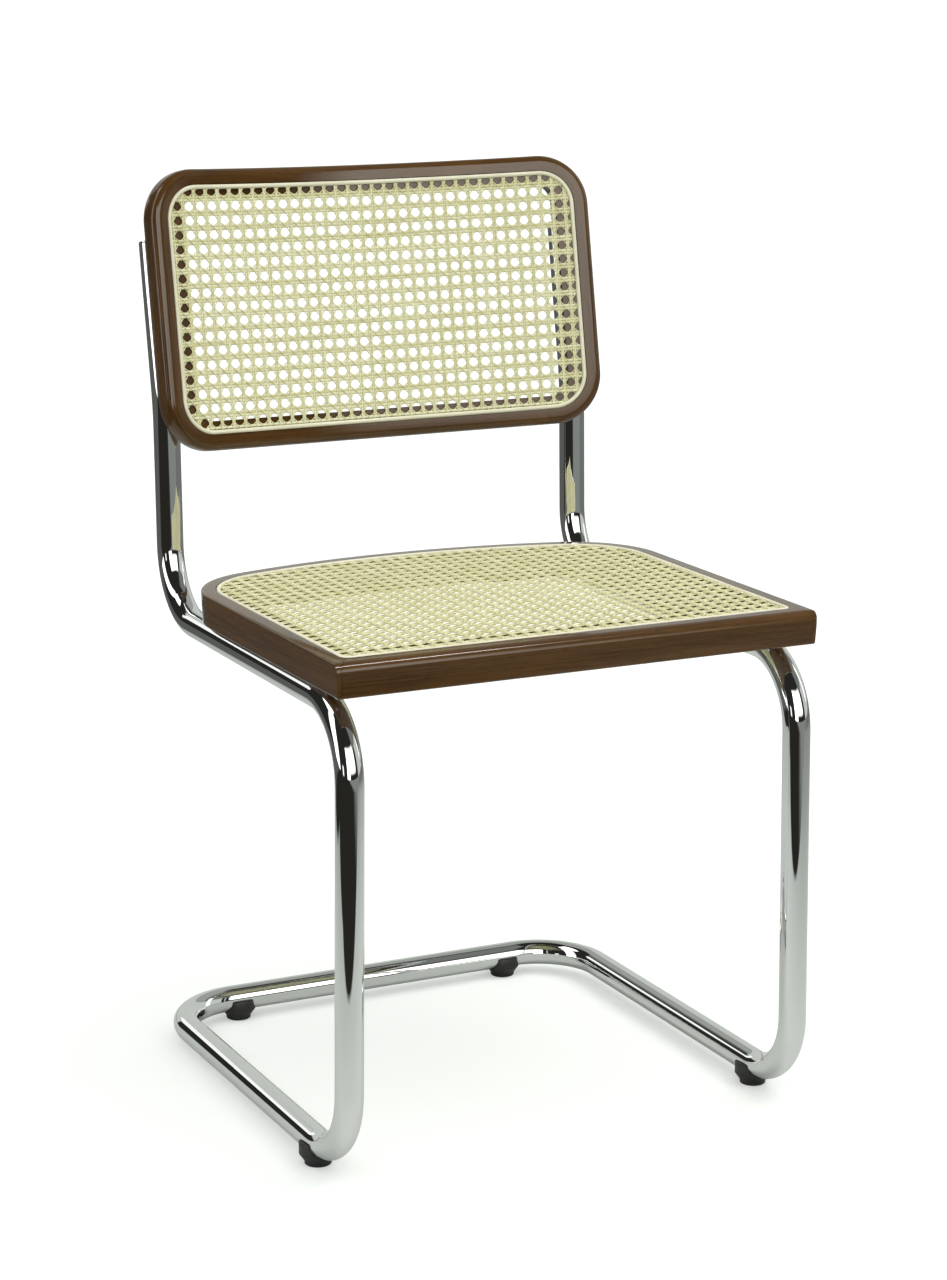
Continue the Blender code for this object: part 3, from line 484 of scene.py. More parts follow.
handled.links.new(_speckle, handled_out.inputs["Speckle"])
print("group", handled.name, "has", len(handled.nodes), "nodes")


# %% Materials start from one helper


def new_material(name):
    """A material with its tree and its one shader."""
    made = bpy.data.materials.new(name)
    made.use_nodes = True
    return made, made.node_tree, made.node_tree.nodes["Principled BSDF"]


def bump(tree, shader, height, distance, strength=1.0):
    """Relief from a height map."""
    made = node(tree, "ShaderNodeBump", None, Height=height, Distance=distance, Strength=strength)
    tree.links.new(made.outputs[0], shader.inputs["Normal"])
    return made


def dress(obj, material):
    """Gives the whole object one material."""
    obj.data.materials.clear()
    obj.data.materials.append(material)
    return obj


# %% [markdown]
# ## Stained beech
# The rails are beech, bent with steam and stained a dark reddish brown under a satin lacquer. Beech
# shows short dark flecks and faint long streaks that follow the bend. A wood texture in object
# space would run straight through the corners, so each point carries a "grain" vector: how far it
# lies along the rail, how far in from its edge, and how high.

# %% Wood
wood, tree, shader = new_material("stained_beech")
grain = node(tree, "ShaderNodeAttribute", {"attribute_name": "grain"}).outputs["Vector"]
streak = node(tree, "ShaderNodeGroup", {"node_tree": fibres}, Vector=grain, Length=0.060, Width=0.0016)
_light = mapped(tree, streak.outputs["Streaks"], 0.30, 0.72, 0.0, 1.0)
_tone = mix_colour(tree, _light, (0.036, 0.0155, 0.0038, 1.0), (0.096, 0.0435, 0.0100, 1.0))
_share = mapped(tree, streak.outputs["Drift"], 0.35, 0.70, 0.0, 0.55)
_warm = mix_colour(tree, _share, _tone, (0.112, 0.0510, 0.0120, 1.0))
_flecks = math_node(tree, "MULTIPLY", streak.outputs["Pores"], 0.55)
_dark = mix_colour(tree, _flecks, _warm, (0.028, 0.012, 0.003, 1.0))
tree.links.new(_dark, shader.inputs["Base Color"])
_rough = mapped(tree, streak.outputs["Streaks"], 0.2, 0.8, 0.46, 0.38)
tree.links.new(_rough, shader.inputs["Roughness"])
_height = math_node(tree, "SUBTRACT", streak.outputs["Streaks"], streak.outputs["Pores"])
bump(tree, shader, _height, 0.00006)
shader.inputs["Specular IOR Level"].default_value = 0.05
shader.inputs["Coat Weight"].default_value = 0.9
shader.inputs["Coat Roughness"].default_value = 0.09

# %% [markdown]
# ## Cane
# Cane is the outer skin of rattan, split into strips. Its face is glossy and slightly rounded, pale
# straw with fine lengthwise fibres, and each strip has a tone of its own. The strips of a weave are
# real geometry here, and the "strand" vector tells each point how far along its strip it lies, how
# far across, and a tone that is random for each strip.

# %% Cane
cane, tree, shader = new_material("natural_cane")
strand = node(tree, "ShaderNodeAttribute", {"attribute_name": "strand"}).outputs["Vector"]
_parts = node(tree, "ShaderNodeSeparateXYZ", None, Vector=strand)
_across = math_node(tree, "ABSOLUTE", _parts.outputs[1])
_tone_value = _parts.outputs[2]
_side = math_node(tree, "MULTIPLY", _parts.outputs[1], 0.001)
_place = node(tree, "ShaderNodeCombineXYZ", None, X=_parts.outputs[0], Y=_side, Z=_tone_value).outputs[0]
streak = node(tree, "ShaderNodeGroup", {"node_tree": fibres}, Vector=_place, Length=0.012, Width=0.00030)
_base = mix_colour(tree, _tone_value, (0.67, 0.65, 0.355, 1.0), (0.855, 0.84, 0.58, 1.0))
_share = mapped(tree, streak.outputs["Streaks"], 0.35, 0.75, 0.0, 0.40)
_fibre = mix_colour(tree, _share, _base, (0.51, 0.46, 0.205, 1.0))
_edge = mix_colour(tree, mapped(tree, _across, 0.62, 1.0, 0.0, 0.60), _fibre, (0.41, 0.36, 0.155, 1.0))
tree.links.new(_edge, shader.inputs["Base Color"])
tree.links.new(mapped(tree, streak.outputs["Streaks"], 0.3, 0.7, 0.36, 0.50), shader.inputs["Roughness"])
bump(tree, shader, streak.outputs["Streaks"], 0.00003)

# %% [markdown]
# ## Spline, chrome, plastic and screws
# The spline is reed, paler and rounder than the strips that it holds. Chrome is a mirror: most of
# its looks come from what stands around it, so it only gets a slight haze. The glides are matt
# moulded plastic with a fine grain, and the screws are zinc plated.

# %% Spline
reed, tree, shader = new_material("reed_spline")
strand = node(tree, "ShaderNodeAttribute", {"attribute_name": "grain"}).outputs["Vector"]
streak = node(tree, "ShaderNodeGroup", {"node_tree": fibres}, Vector=strand, Length=0.020, Width=0.0005)
_light = mapped(tree, streak.outputs["Streaks"], 0.3, 0.7, 0.0, 1.0)
_base = mix_colour(tree, _light, (0.73, 0.70, 0.51, 1.0), (0.87, 0.85, 0.70, 1.0))
_share = mapped(tree, streak.outputs["Drift"], 0.35, 0.75, 0.0, 0.5)
_aged = mix_colour(tree, _share, _base, (0.62, 0.57, 0.36, 1.0))
tree.links.new(_aged, shader.inputs["Base Color"])
tree.links.new(mapped(tree, streak.outputs["Streaks"], 0.3, 0.7, 0.42, 0.55), shader.inputs["Roughness"])
bump(tree, shader, streak.outputs["Streaks"], 0.00005)

# %% Chrome, plastic and zinc plate


def handled_material(name, clean, dusty, first, second):
    """A material whose roughness and tint follow the handled surface."""
    made, tree, shader = new_material(name)
    place = node(tree, "ShaderNodeTexCoord").outputs["Object"]
    touch = node(tree, "ShaderNodeGroup", {"node_tree": handled}, Vector=place, Clean=clean, Dusty=dusty)
    tree.links.new(touch.outputs["Roughness"], shader.inputs["Roughness"])
    tint = mix_colour(tree, touch.outputs["Haze"], first, second)
    tree.links.new(tint, shader.inputs["Base Color"])
    return made, shader, touch


chrome, shader, touch = handled_material(
    "polished_chrome", 0.020, 0.050, (0.82, 0.83, 0.83, 1.0), (0.78, 0.79, 0.78, 1.0)
)
shader.inputs["Metallic"].default_value = 1.0

plastic, shader, touch = handled_material(
    "black_plastic", 0.42, 0.62, (0.010, 0.011, 0.011, 1.0), (0.022, 0.022, 0.021, 1.0)
)
bump(plastic.node_tree, shader, touch.outputs["Speckle"], 0.00004)

zinc, shader, touch = handled_material(
    "zinc_plate", 0.22, 0.42, (0.55, 0.56, 0.58, 1.0), (0.45, 0.45, 0.44, 1.0)
)
shader.inputs["Metallic"].default_value = 1.0

# %% Raw beech
beech, tree, shader = new_material("raw_beech")
_object = node(tree, "ShaderNodeTexCoord").outputs["Object"]
streak = node(tree, "ShaderNodeGroup", {"node_tree": fibres}, Vector=_object, Length=0.020, Width=0.0010)
_tone = mix_colour(tree, streak.outputs["Streaks"], (0.52, 0.35, 0.20, 1.0), (0.70, 0.52, 0.34, 1.0))
tree.links.new(_tone, shader.inputs["Base Color"])
tree.links.new(mapped(tree, streak.outputs["Pores"], 0.0, 1.0, 0.55, 0.70), shader.inputs["Roughness"])
print("materials:", ", ".join(material.name for material in (wood, cane, reed, chrome, plastic, zinc, beech)))

# %% [markdown]
# ## The tube
# One length of steel tube makes the whole frame. Its path is a handful of corners, each rounded by
# the bending die. The ring of points is carried along with as little twist as possible, so the
# highlights run straight. The open ends turn in on themselves and show the wall.

# %% Tube path


def half_centreline(side):
    """Corners of one half of the tube, from the upright's end to the rear floor bend."""
    rear_x = side * SEAT_RUN_X_REAR
    end_y = KINK_Y + UPRIGHT_ABOVE_KINK * math.sin(RECLINE)
    end_z = KINK_Z + UPRIGHT_ABOVE_KINK * math.cos(RECLINE)
    return [
        Vector((rear_x, end_y, end_z)),
        Vector((rear_x, KINK_Y, KINK_Z)),
        Vector((rear_x, UPRIGHT_Y, SEAT_RUN_Z)),
        Vector((side * SEAT_RUN_X_FRONT, FRONT_LEG_Y, SEAT_RUN_Z)),
        Vector((side * RUNNER_X, FRONT_LEG_Y, RUNNER_Z)),
        Vector((side * RUNNER_X, CROSSBAR_Y, RUNNER_Z)),
    ]


def tube_centreline(bend_steps):
    """The whole bent path, from one upright end to the other."""
    corners = half_centreline(-1) + half_centreline(1)[::-1]
    radii = [0, KINK_RADIUS] + [BEND_RADIUS] * 4
    return rounded(corners, radii + radii[::-1], bend_steps, closed=False)


def round_rings(path, radii, sides):
    """Circles square to the path, with as little twist as possible."""
    tangents = []
    for index, point in enumerate(path):
        before = (point - path[index - 1]).normalized() if index else Vector()
        after = (path[index + 1] - point).normalized() if index + 1 < len(path) else Vector()
        tangents.append((before + after).normalized())
    side = tangents[0].orthogonal().normalized()
    angles = np.linspace(0, 2 * math.pi, sides, endpoint=False)
    rings = []
    for point, tangent, radius in zip(path, tangents, radii):
        side = (side - tangent * side.dot(tangent)).normalized()
        other = tangent.cross(side)
        ring = np.outer(np.cos(angles), side) + np.outer(np.sin(angles), other)
        rings.append(np.array(point) + ring * radius)
    return np.array(rings)


# %% Tube
TUBE_SIDES = 48
TUBE_BEND_STEPS = 24
TUBE_LIP = 0.0004
TUBE_BORE_SHOWN = 0.020

line = tube_centreline(TUBE_BEND_STEPS)
start_way = (line[1] - line[0]).normalized()
end_way = (line[-2] - line[-1]).normalized()
bore = TUBE_RADIUS - TUBE_WALL
path = [line[0] + start_way * TUBE_BORE_SHOWN, line[0], line[0], line[0] + start_way * TUBE_LIP]
path += line[1:-1]
path += [line[-1] + end_way * TUBE_LIP, line[-1], line[-1], line[-1] + end_way * TUBE_BORE_SHOWN]
radii = [bore, bore, TUBE_RADIUS - TUBE_LIP, TUBE_RADIUS] + [TUBE_RADIUS] * (len(line) - 2)
radii += [TUBE_RADIUS, TUBE_RADIUS - TUBE_LIP, bore, bore]
outer = round_rings(line, [TUBE_RADIUS] * len(line), TUBE_SIDES)
centres = np.array([list(point) for point in path])
nearest = [0, 0, 0, 0] + list(range(1, len(line) - 1)) + [len(line) - 1] * 4
spokes = (outer - np.array([list(point) for point in line])[:, None, :]) / TUBE_RADIUS
rings = centres[:, None, :] + spokes[nearest] * np.array(radii)[:, None, None]
tube = from_rings("bent_tube", rings, closed=False)

# %% Holes under the seat runs
SEAT_SCREW_RISE = 0.00825
SEAT_SCREW_HEAD_Z = SEAT_RUN_Z + SEAT_SCREW_RISE
SEAT_SCREW_SETBACK = BEND_RADIUS + 0.012
SEAT_SCREW_SPACING = 0.220
SEAT_SCREW_ROWS = (("front", SEAT_SCREW_SETBACK), ("rear", SEAT_SCREW_SETBACK + SEAT_SCREW_SPACING))
SEAT_ACCESS_RADIUS = 0.0055


def seat_screw_place(side, setback):
    """Where a seat screw stands on its run, in plan."""
    share = setback / (UPRIGHT_Y - FRONT_LEG_Y)
    return side * (SEAT_RUN_X_FRONT + (SEAT_RUN_X_REAR - SEAT_RUN_X_FRONT) * share), FRONT_LEG_Y + setback


hole_profile = [(SEAT_ACCESS_RADIUS, -TUBE_RADIUS - REACH), (SEAT_ACCESS_RADIUS, SEAT_SCREW_RISE)]
for side in (-1, 1):
    for _, setback in SEAT_SCREW_ROWS:
        hole = turned("access_hole", hole_profile, 32)
        hole.data.transform(Matrix.Translation((*seat_screw_place(side, setback), SEAT_RUN_Z)))
        cut(tube, "DIFFERENCE", hole)
crisp(tube)
stands_for(dress(tube, chrome), "chrome", "tube_frame")
print("tube length, metres:", round(float(lengths_along(centres[3:-3])[-1]), 3))

# %% [markdown]
# ## End caps and glides
# Both are turned pieces. A cap is a shallow chromed plug. A glide is a flared foot whose saddle is
# cut by the tube itself, which is how it comes to fit without measuring.

# %% End caps
CAP_PROFILE = [
    (0.0, -0.0100),
    (0.0098, -0.0100),
    (0.0101, -0.0095),
    (0.0101, 0.0003),
    (0.0122, 0.0003),
    (0.0125, 0.0005),
    (0.0125, 0.0009),
    (0.0121, 0.0014),
    (0.0112, 0.0017),
    (0.0090, 0.0018),
    (0.0, 0.0018),
]
for side, word in ((-1, "left"), (1, "right")):
    cap = turned("tube_cap_" + word, CAP_PROFILE, TUBE_SIDES)
    cap.data.transform(Matrix.Translation(half_centreline(side)[0]) @ Matrix.Rotation(-RECLINE, 4, "X"))
    stands_for(dress(cap, chrome), "chrome", "end_cap_" + word)

# %% Glides
GLIDE_TOP = RUNNER_Z + 0.0006
GLIDE_SIDE = TUBE_RADIUS + GAP + 0.0040
GLIDE_PROFILE = [
    (0.0, 0.0),
    (0.0104, 0.0),
    (0.0113, 0.0002),
    (0.0119, 0.0007),
    (0.0120, 0.0014),
    (0.0120, 0.0030),
    (0.0122, 0.0036),
    (GLIDE_SIDE - 0.0006, 0.0092),
    (GLIDE_SIDE, 0.0100),
    (GLIDE_SIDE, GLIDE_TOP - 0.0012),
    (GLIDE_SIDE - 0.0004, GLIDE_TOP - 0.0004),
    (GLIDE_SIDE - 0.0012, GLIDE_TOP),
    (0.0, GLIDE_TOP),
]
GLIDE_BEHIND_BEND = 0.002
GLIDE_INSIDE_BEND = 0.009
GLIDE_FRONT_Y = FRONT_LEG_Y + BEND_RADIUS + GLIDE_BEHIND_BEND
GLIDE_REAR_X = RUNNER_X - BEND_RADIUS - GLIDE_INSIDE_BEND

saddle_line = tube_centreline(TUBE_BEND_STEPS)
saddle_rings = round_rings(saddle_line, [TUBE_RADIUS + GAP] * len(saddle_line), TUBE_SIDES)
saddle = from_rings("saddle_cutter", saddle_rings, closed=False)
for side, word in ((-1, "left"), (1, "right")):
    for name, x, y in (("front", side * RUNNER_X, GLIDE_FRONT_Y), ("rear", side * GLIDE_REAR_X, CROSSBAR_Y)):
        glide = turned(f"floor_glide_{name}_{word}", GLIDE_PROFILE, 56)
        glide.data.transform(Matrix.Translation((x, y, 0.0)))
        crisp(cut(glide, "DIFFERENCE", saddle, keep_tool=True))
        stands_for(dress(glide, plastic), "glide_plastic", f"glide_{name}_{word}")
bpy.data.objects.remove(saddle, do_unlink=True)

# %% [markdown]
# ## The seat's rails
# The seat is one bent rail round both sides and the rear, closed by a straight front rail with a
# large rounded edge. Both are swept solids. Booleans then trim the mitres and cut the groove for
# the spline and the ledge that the cane lies on.

# %% Seat outline
SEAT_CORNER_STEPS = 28
SEAT_REAR_STEPS = 40
FRONT_EDGE_ROUND = 0.009
FRONT_FOOT_ROUND = 0.002
FRONT_FACE_LEAN = 0.002


def seat_plan(side_inset, front_inset, corner_radius, edge_steps=6):
    """Plan outline of the seat, moved inward from the sides and the rear, and from the front."""
    inner = SEAT_WIDTH / 2 - side_inset - corner_radius
    low = SEAT_FRONT_Y + front_inset + corner_radius
    rear = SEAT_REAR_RADIUS - side_inset
    corner = SEAT_CORNER_RADIUS - side_inset
    quarter = math.pi / 2
    meet = SEAT_CORNER_END
    return np.vstack(
        (
            arc(inner, low, corner_radius, -quarter, 0.0, edge_steps),
            arc(SEAT_CORNER_X, SEAT_CORNER_Y, corner, 0.0, meet, SEAT_CORNER_STEPS),
            arc(0.0, SEAT_ARC_Y, rear, meet, math.pi - meet, SEAT_REAR_STEPS)[1:],
            arc(-SEAT_CORNER_X, SEAT_CORNER_Y, corner, math.pi - meet, math.pi, SEAT_CORNER_STEPS)[1:],
            arc(-inner, low, corner_radius, math.pi, math.pi + quarter, edge_steps),
        )
    )


def bow_path():
    """Outer line of the bent rail, run on past the front, where the mitre trims it."""
    bend = seat_plan(0.0, 0.0, SEAT_FRONT_CORNER_RADIUS)[7:-7]
    front = SEAT_FRONT_Y - REACH
    return np.vstack(([(SEAT_WIDTH / 2, front)], bend, [(-SEAT_WIDTH / 2, front)]))


def front_section(depth):
    """The front rail's section: a flat leaning face under a large rounded top edge."""
    foot = (FRONT_FACE_LEAN, SEAT_UNDERSIDE)
    corners = [(0.0, SEAT_HEIGHT), (depth, SEAT_HEIGHT), (depth, SEAT_UNDERSIDE), foot]
    return outline_2d(corners, [FRONT_EDGE_ROUND, 0, FRONT_FOOT_ROUND, FRONT_FOOT_ROUND], 10)


def before_front(low, high):
    """All that lies before the front rail's face, as a section for cutting."""
    lowest, highest = Vector((FRONT_FACE_LEAN, SEAT_UNDERSIDE)), Vector((0.0, SEAT_HEIGHT))
    top = fillet(lowest, highest, Vector((1.0, SEAT_HEIGHT)), FRONT_EDGE_ROUND, 10)
    foot = fillet(Vector((1.0, SEAT_UNDERSIDE)), lowest, highest, FRONT_FOOT_ROUND, 6)
    box = [(top[-1].x, high), (-REACH, high), (-REACH, low), (foot[0].x, low)]
    return np.array([(p.x, p.y) for p in top] + box + [(p.x, p.y) for p in foot])


def across_front(name, section):
    """A bar with this (depth, height) section, lying across the chair behind the front line."""
    reach = SEAT_WIDTH / 2 + REACH
    rings = np.zeros((2, len(section), 3))
    rings[0, :, 0] = -reach
    rings[1, :, 0] = reach
    rings[:, :, 1] = SEAT_FRONT_Y + section[:, 0]
    rings[:, :, 2] = section[:, 1]
    return from_rings(name, rings, closed=False)


# %% Seat joints


def mitre_line(side):
    """Outer and inner end of the joint between the front rail and the bow."""
    outer_end = Vector((side * (SEAT_WIDTH / 2 - 0.004), SEAT_FRONT_Y, 0.0))
    inner_x = side * (SEAT_WIDTH / 2 - SEAT_SIDE_RAIL)
    return outer_end, Vector((inner_x, SEAT_FRONT_Y + SEAT_FRONT_RAIL, 0.0))


def mitre_wedge(name, shift):
    """The part of the plan that belongs to the front rail, grown or shrunk by the shift."""
    points = []
    for side in (-1, 1):
        outer_end, inner_end = mitre_line(side)
        along = (inner_end - outer_end).normalized()
        normal = Vector((side * abs(along.y), -abs(along.x), 0.0))
        ends = [outer_end - along * REACH + normal * shift, inner_end + along * REACH / 2 + normal * shift]
        points += ends if side == 1 else ends[::-1]
    return prism(name, points, SEAT_UNDERSIDE - REACH, SEAT_HEIGHT + REACH)


def seat_spline_path():
    """Middle line of the seat's spline."""
    middle = SPLINE_WIDTH / 2
    return seat_plan(SEAT_SIDE_LAND + middle, SEAT_FRONT_LAND + middle, 0.006)


# %% Seat rails
JOINT = 0.0006
side_section = outline_2d(
    [
        (0.0, SEAT_HEIGHT),
        (SEAT_SIDE_RAIL, SEAT_HEIGHT),
        (SEAT_SIDE_RAIL, SEAT_UNDERSIDE),
        (0.001, SEAT_UNDERSIDE),
    ],
    [0.0022, 0.0, 0.002, 0.002],
)
bow = from_rings("bent_seat_rail", flat_rings(bow_path(), side_section, closed=False), closed=False)
rail = across_front("front_seat_rail", front_section(SEAT_FRONT_RAIL))

low, high = SEAT_UNDERSIDE - REACH, SEAT_HEIGHT + REACH
half_groove = SPLINE_WIDTH / 2 + SPLINE_GAP
groove_section = np.array(
    [
        (-half_groove, SEAT_HEIGHT - GROOVE_DEPTH),
        (half_groove, SEAT_HEIGHT - GROOVE_DEPTH),
        (half_groove, high),
        (-half_groove, high),
    ]
)
groove_rings = flat_rings(seat_spline_path(), groove_section, closed=True)
for part, wedge_sign in ((bow, 1), (rail, -1)):
    plan = seat_plan(-0.0002, 0.0, SEAT_FRONT_CORNER_RADIUS)
    wedge = mitre_wedge("mitre", wedge_sign * JOINT / 2)
    cut(part, "DIFFERENCE" if part is bow else "INTERSECT", wedge)
    cut(part, "INTERSECT", prism("plan", plan, low, high))
    cut(part, "DIFFERENCE", from_rings("groove", groove_rings, closed=True))
    cut(part, "DIFFERENCE", prism("ledge", seat_spline_path(), SEAT_HEIGHT - LEDGE_DEPTH, high))
cut(bow, "DIFFERENCE", across_front("front_space", before_front(low, high)))
weld(bow)


# %% Grain of the seat's rails


def nearest_on(path, places):
    """For each place, how far along the path and how far from it the nearest spot lies."""
    starts, steps = path[:-1], np.diff(path, axis=0)
    sizes = np.linalg.norm(steps, axis=1)
    before = np.concatenate(([0.0], np.cumsum(sizes)))[:-1]
    offset = places[:, None, :] - starts[None, :, :]
    share = np.clip(np.sum(offset * steps[None], axis=2) / sizes[None] ** 2, 0.0, 1.0)
    gaps = np.linalg.norm(offset - share[..., None] * steps[None], axis=2)
    best = np.argmin(gaps, axis=1)
    rows = np.arange(len(places))
    return before[best] + share[rows, best] * sizes[best], gaps[rows, best]


def write_grain(obj, values):
    """Stores the grain vector on the points of a finished mesh."""
    layer = obj.data.attributes.new("grain", "FLOAT_VECTOR", "POINT")
    layer.data.foreach_set("vector", np.ascontiguousarray(values, dtype=np.float32).ravel())


def points_of(obj):
    """All points of a mesh as an array."""
    flat = np.zeros(len(obj.data.vertices) * 3)
    obj.data.vertices.foreach_get("co", flat)
    return flat.reshape(-1, 3)


bow_points = points_of(bow)
along, inward = nearest_on(bow_path(), bow_points[:, :2])
write_grain(bow, np.column_stack((along, inward, bow_points[:, 2])))
rail_points = points_of(rail)
write_grain(rail, rail_points + (2.0, 0.7, 0.0))
for part, node_name in ((bow, "seat_bow"), (rail, "seat_front_rail")):
    stands_for(dress(crisp(part, 30), wood), "stained_wood", node_name)
print("seat rails:", len(bow.data.polygons), "and", len(rail.data.polygons), "faces")

# %% [markdown]
# ## Splines
# A spline is a reed pressed into the groove over the edge of the cane. Its top stands a little
# proud and is well rounded, so it catches a line of light all the way round.

# %% Seat spline


def spline_section(top):
    """A strip on edge with a rounded top, centred on its path."""
    half = SPLINE_WIDTH / 2
    crown = top + SPLINE_PROUD
    foot = crown - SPLINE_TALL
    corners = [(-half, crown), (half, crown), (half, foot), (-half, foot)]
    return outline_2d(corners, [SPLINE_ROUND, SPLINE_ROUND, 0, 0], 6)


def path_grain(path, section):
    """Grain vectors for a swept piece: along, inward and up."""
    grain_rings = np.zeros((len(path), len(section), 3))
    grain_rings[:, :, 0] = lengths_along(path)[:, None]
    grain_rings[:, :, 1] = section[None, :, 0]
    grain_rings[:, :, 2] = section[None, :, 1]
    return grain_rings


section = spline_section(SEAT_HEIGHT)
path = seat_spline_path()
seat_spline = from_rings("seat_reed", flat_rings(path, section, True), True, path_grain(path, section))
stands_for(dress(seat_spline, reed), "spline", "seat_spline")

# %% [markdown]
# ## The back's hoop
# The hoop is bent from one stick, rounded in front and flat where the cane lies. It is laid out
# flat, then every point is rolled onto a cylinder and leaned back. A Simple Deform modifier could
# roll it, but a formula moves the points exactly and the grain vector stays as it was.

# %% Roll and lean


def to_back(flat):
    """Takes points of the flat back (x, height, depth to the front) to their place on the chair."""
    x, tall, front = flat[..., 0], flat[..., 1], flat[..., 2]
    turn = x / BACK_CURVE_RADIUS
    reach = BACK_CURVE_RADIUS - front
    side = reach * np.sin(turn)
    deep = reach * np.cos(turn) - BACK_CURVE_RADIUS
    y = BACK_Y + deep * math.cos(RECLINE) + tall * math.sin(RECLINE)
    z = BACK_Z - deep * math.sin(RECLINE) + tall * math.cos(RECLINE)
    return np.stack((side, y, z), axis=-1)


def back_plan(inset, corner_steps=24, station=0.010):
    """Flat outline of the back, moved inward, with points close enough for rolling."""
    half_w = BACK_WIDTH / 2 - inset
    half_h = BACK_HEIGHT / 2 - inset
    corner = BACK_CORNER_RADIUS - inset
    quarter = math.pi / 2
    points = []
    for side, end, begin in ((1, -1, -quarter), (1, 1, 0.0), (-1, 1, quarter), (-1, -1, 2 * quarter)):
        centre_x, centre_y = side * (half_w - corner), end * (half_h - corner)
        turn = arc(centre_x, centre_y, corner, begin, begin + quarter, corner_steps)
        if points:
            points.append(between(points[-1][-1], turn[0], station))
        points.append(turn)
    points.append(between(points[-1][-1], points[0][0], station))
    return np.vstack(points)


def between(first, last, station):
    """Points between two ends, no further apart than the station."""
    count = max(2, math.ceil(np.linalg.norm(last - first) / station))
    return np.array([first + (last - first) * step / count for step in range(1, count)])


# %% Hoop


def hoop_section():
    """Rounded outside, a flat land, the groove for the spline and the ledge for the cane."""
    groove_out = BACK_LAND - SPLINE_GAP
    groove_in = BACK_LAND + SPLINE_WIDTH + SPLINE_GAP
    inner = BACK_LAND + SPLINE_WIDTH + BACK_END_LEDGE
    bottom = BACK_FACE - GROOVE_DEPTH
    ledge = BACK_FACE - LEDGE_DEPTH
    shoulder = BACK_FACE - BACK_FRONT_ROUND
    points = []
    for angle in np.linspace(0, math.pi / 2, 15):
        inward = BACK_EDGE_INSET + BACK_FRONT_ROUND * (1 - math.cos(angle))
        points.append((inward, shoulder + BACK_FRONT_ROUND * math.sin(angle)))
    points += [(groove_out, BACK_FACE), (groove_out, bottom), (groove_in, bottom), (groove_in, ledge)]
    points += [(inner - 0.0006, ledge), (inner, ledge - 0.0006)]
    points += [(inner, 0.003 - BACK_FACE), (inner - 0.0009, 0.0009 - BACK_FACE), (inner - 0.003, -BACK_FACE)]
    for angle in np.linspace(0, math.pi / 2, 11)[:-1]:
        inward = BACK_EDGE_INSET + (BACK_REAR_ROUND - BACK_EDGE_INSET) * (1 - math.sin(angle))
        points.append((inward, -BACK_FACE * math.cos(angle)))
    return np.array(points)


def widen_ledge(rings, section):
    """Moves the inner edge of the flat hoop inward along its sides, where the real one is wider."""
    inner = section[:, 0] > BACK_LAND + SPLINE_WIDTH + SPLINE_GAP * 2
    inward = rings[:, inner, :2].mean(axis=1) - rings[:, 0, :2]
    inward /= np.linalg.norm(inward, axis=1, keepdims=True)
    extra = (BACK_SIDE_LEDGE - BACK_END_LEDGE) * inward[:, :1] ** 2 * inward
    rings[:, inner, :2] += extra[:, None, :]
    return rings


section = hoop_section()
path = back_plan(0.0)
flat_hoop = widen_ledge(flat_rings(path, section, True), section)
hoop = from_rings("bent_back_hoop", to_back(flat_hoop), True, path_grain(path, section))
stands_for(dress(crisp(hoop, 30), wood), "stained_wood", "back_hoop")

section = spline_section(BACK_FACE)
path = back_plan(BACK_LAND + SPLINE_WIDTH / 2)
back_rings = to_back(flat_rings(path, section, True))
back_spline = from_rings("back_reed", back_rings, True, path_grain(path, section))
stands_for(dress(back_spline, reed), "spline", "back_spline")
print("hoop:", len(hoop.data.polygons), "faces")

# %% [markdown]
# ## The weave
# The cane is woven six ways. Pairs of strips run front to back and side to side, half an inch
# apart, and cross like cloth. Single strips then run both diagonals, each over one set of pairs and
# under the other, and cut the corners of the square holes, which makes them eight-sided.
#
# A bump map can't show such holes. Every strip is therefore a real, slightly domed ribbon. Its
# height along its length comes from a small table: where it passes over, where under.

# %% Weave sizes
CANE_PITCH = 0.0127
LENGTHWISE_HALF = 0.00088
CROSSWISE_HALF = 0.00128
STRIP_WIDTH = {"lengthwise": 0.0020, "crosswise": 0.0024, "rising": 0.0011, "falling": 0.0011}
STRIP_THICK = 0.00100
CROSS_RISE = 0.00044
DIAGONAL_RISE = 0.00074
MID = CANE_PITCH / 2
DIAGONAL_STEP = CANE_PITCH / math.sqrt(2)

STRIP_SECTION = np.array(
    [(-0.50, -0.10), (-0.27, 0.36), (0.27, 0.36), (0.50, -0.10), (0.34, -0.50), (-0.34, -0.50)]
)
SHORTEST_STRIP = 0.002
END_CLEARANCE = 0.0004
WIDTH_SPREAD = 0.10
WANDER = 0.00012
WANDER_WAVES = 45.0
WANDER_PHASE = 6.28
TONE_SHIFT = 3.0
BEND_PAST_PAIR = 0.0021
DIAGONAL_FLAT = 0.0026
DIAGONAL_CREST = 1.08

# %% Strips


def inside_span(outline, origin, way):
    """Where a line enters and leaves a convex outline, or nothing."""
    ends = np.roll(outline, -1, axis=0)
    edge = ends - outline
    normal = np.column_stack((-edge[:, 1], edge[:, 0]))
    speed = normal @ way
    room = np.sum(normal * (origin - outline), axis=1)
    enter, leave = -10.0, 10.0
    for pace, space in zip(speed, room):
        if abs(pace) < 1e-12:
            if space < 0:
                return None
            continue
        crossing = -space / pace
        if pace > 0:
            enter = max(enter, crossing)
        else:
            leave = min(leave, crossing)
    return (enter, leave) if leave - enter > SHORTEST_STRIP else None


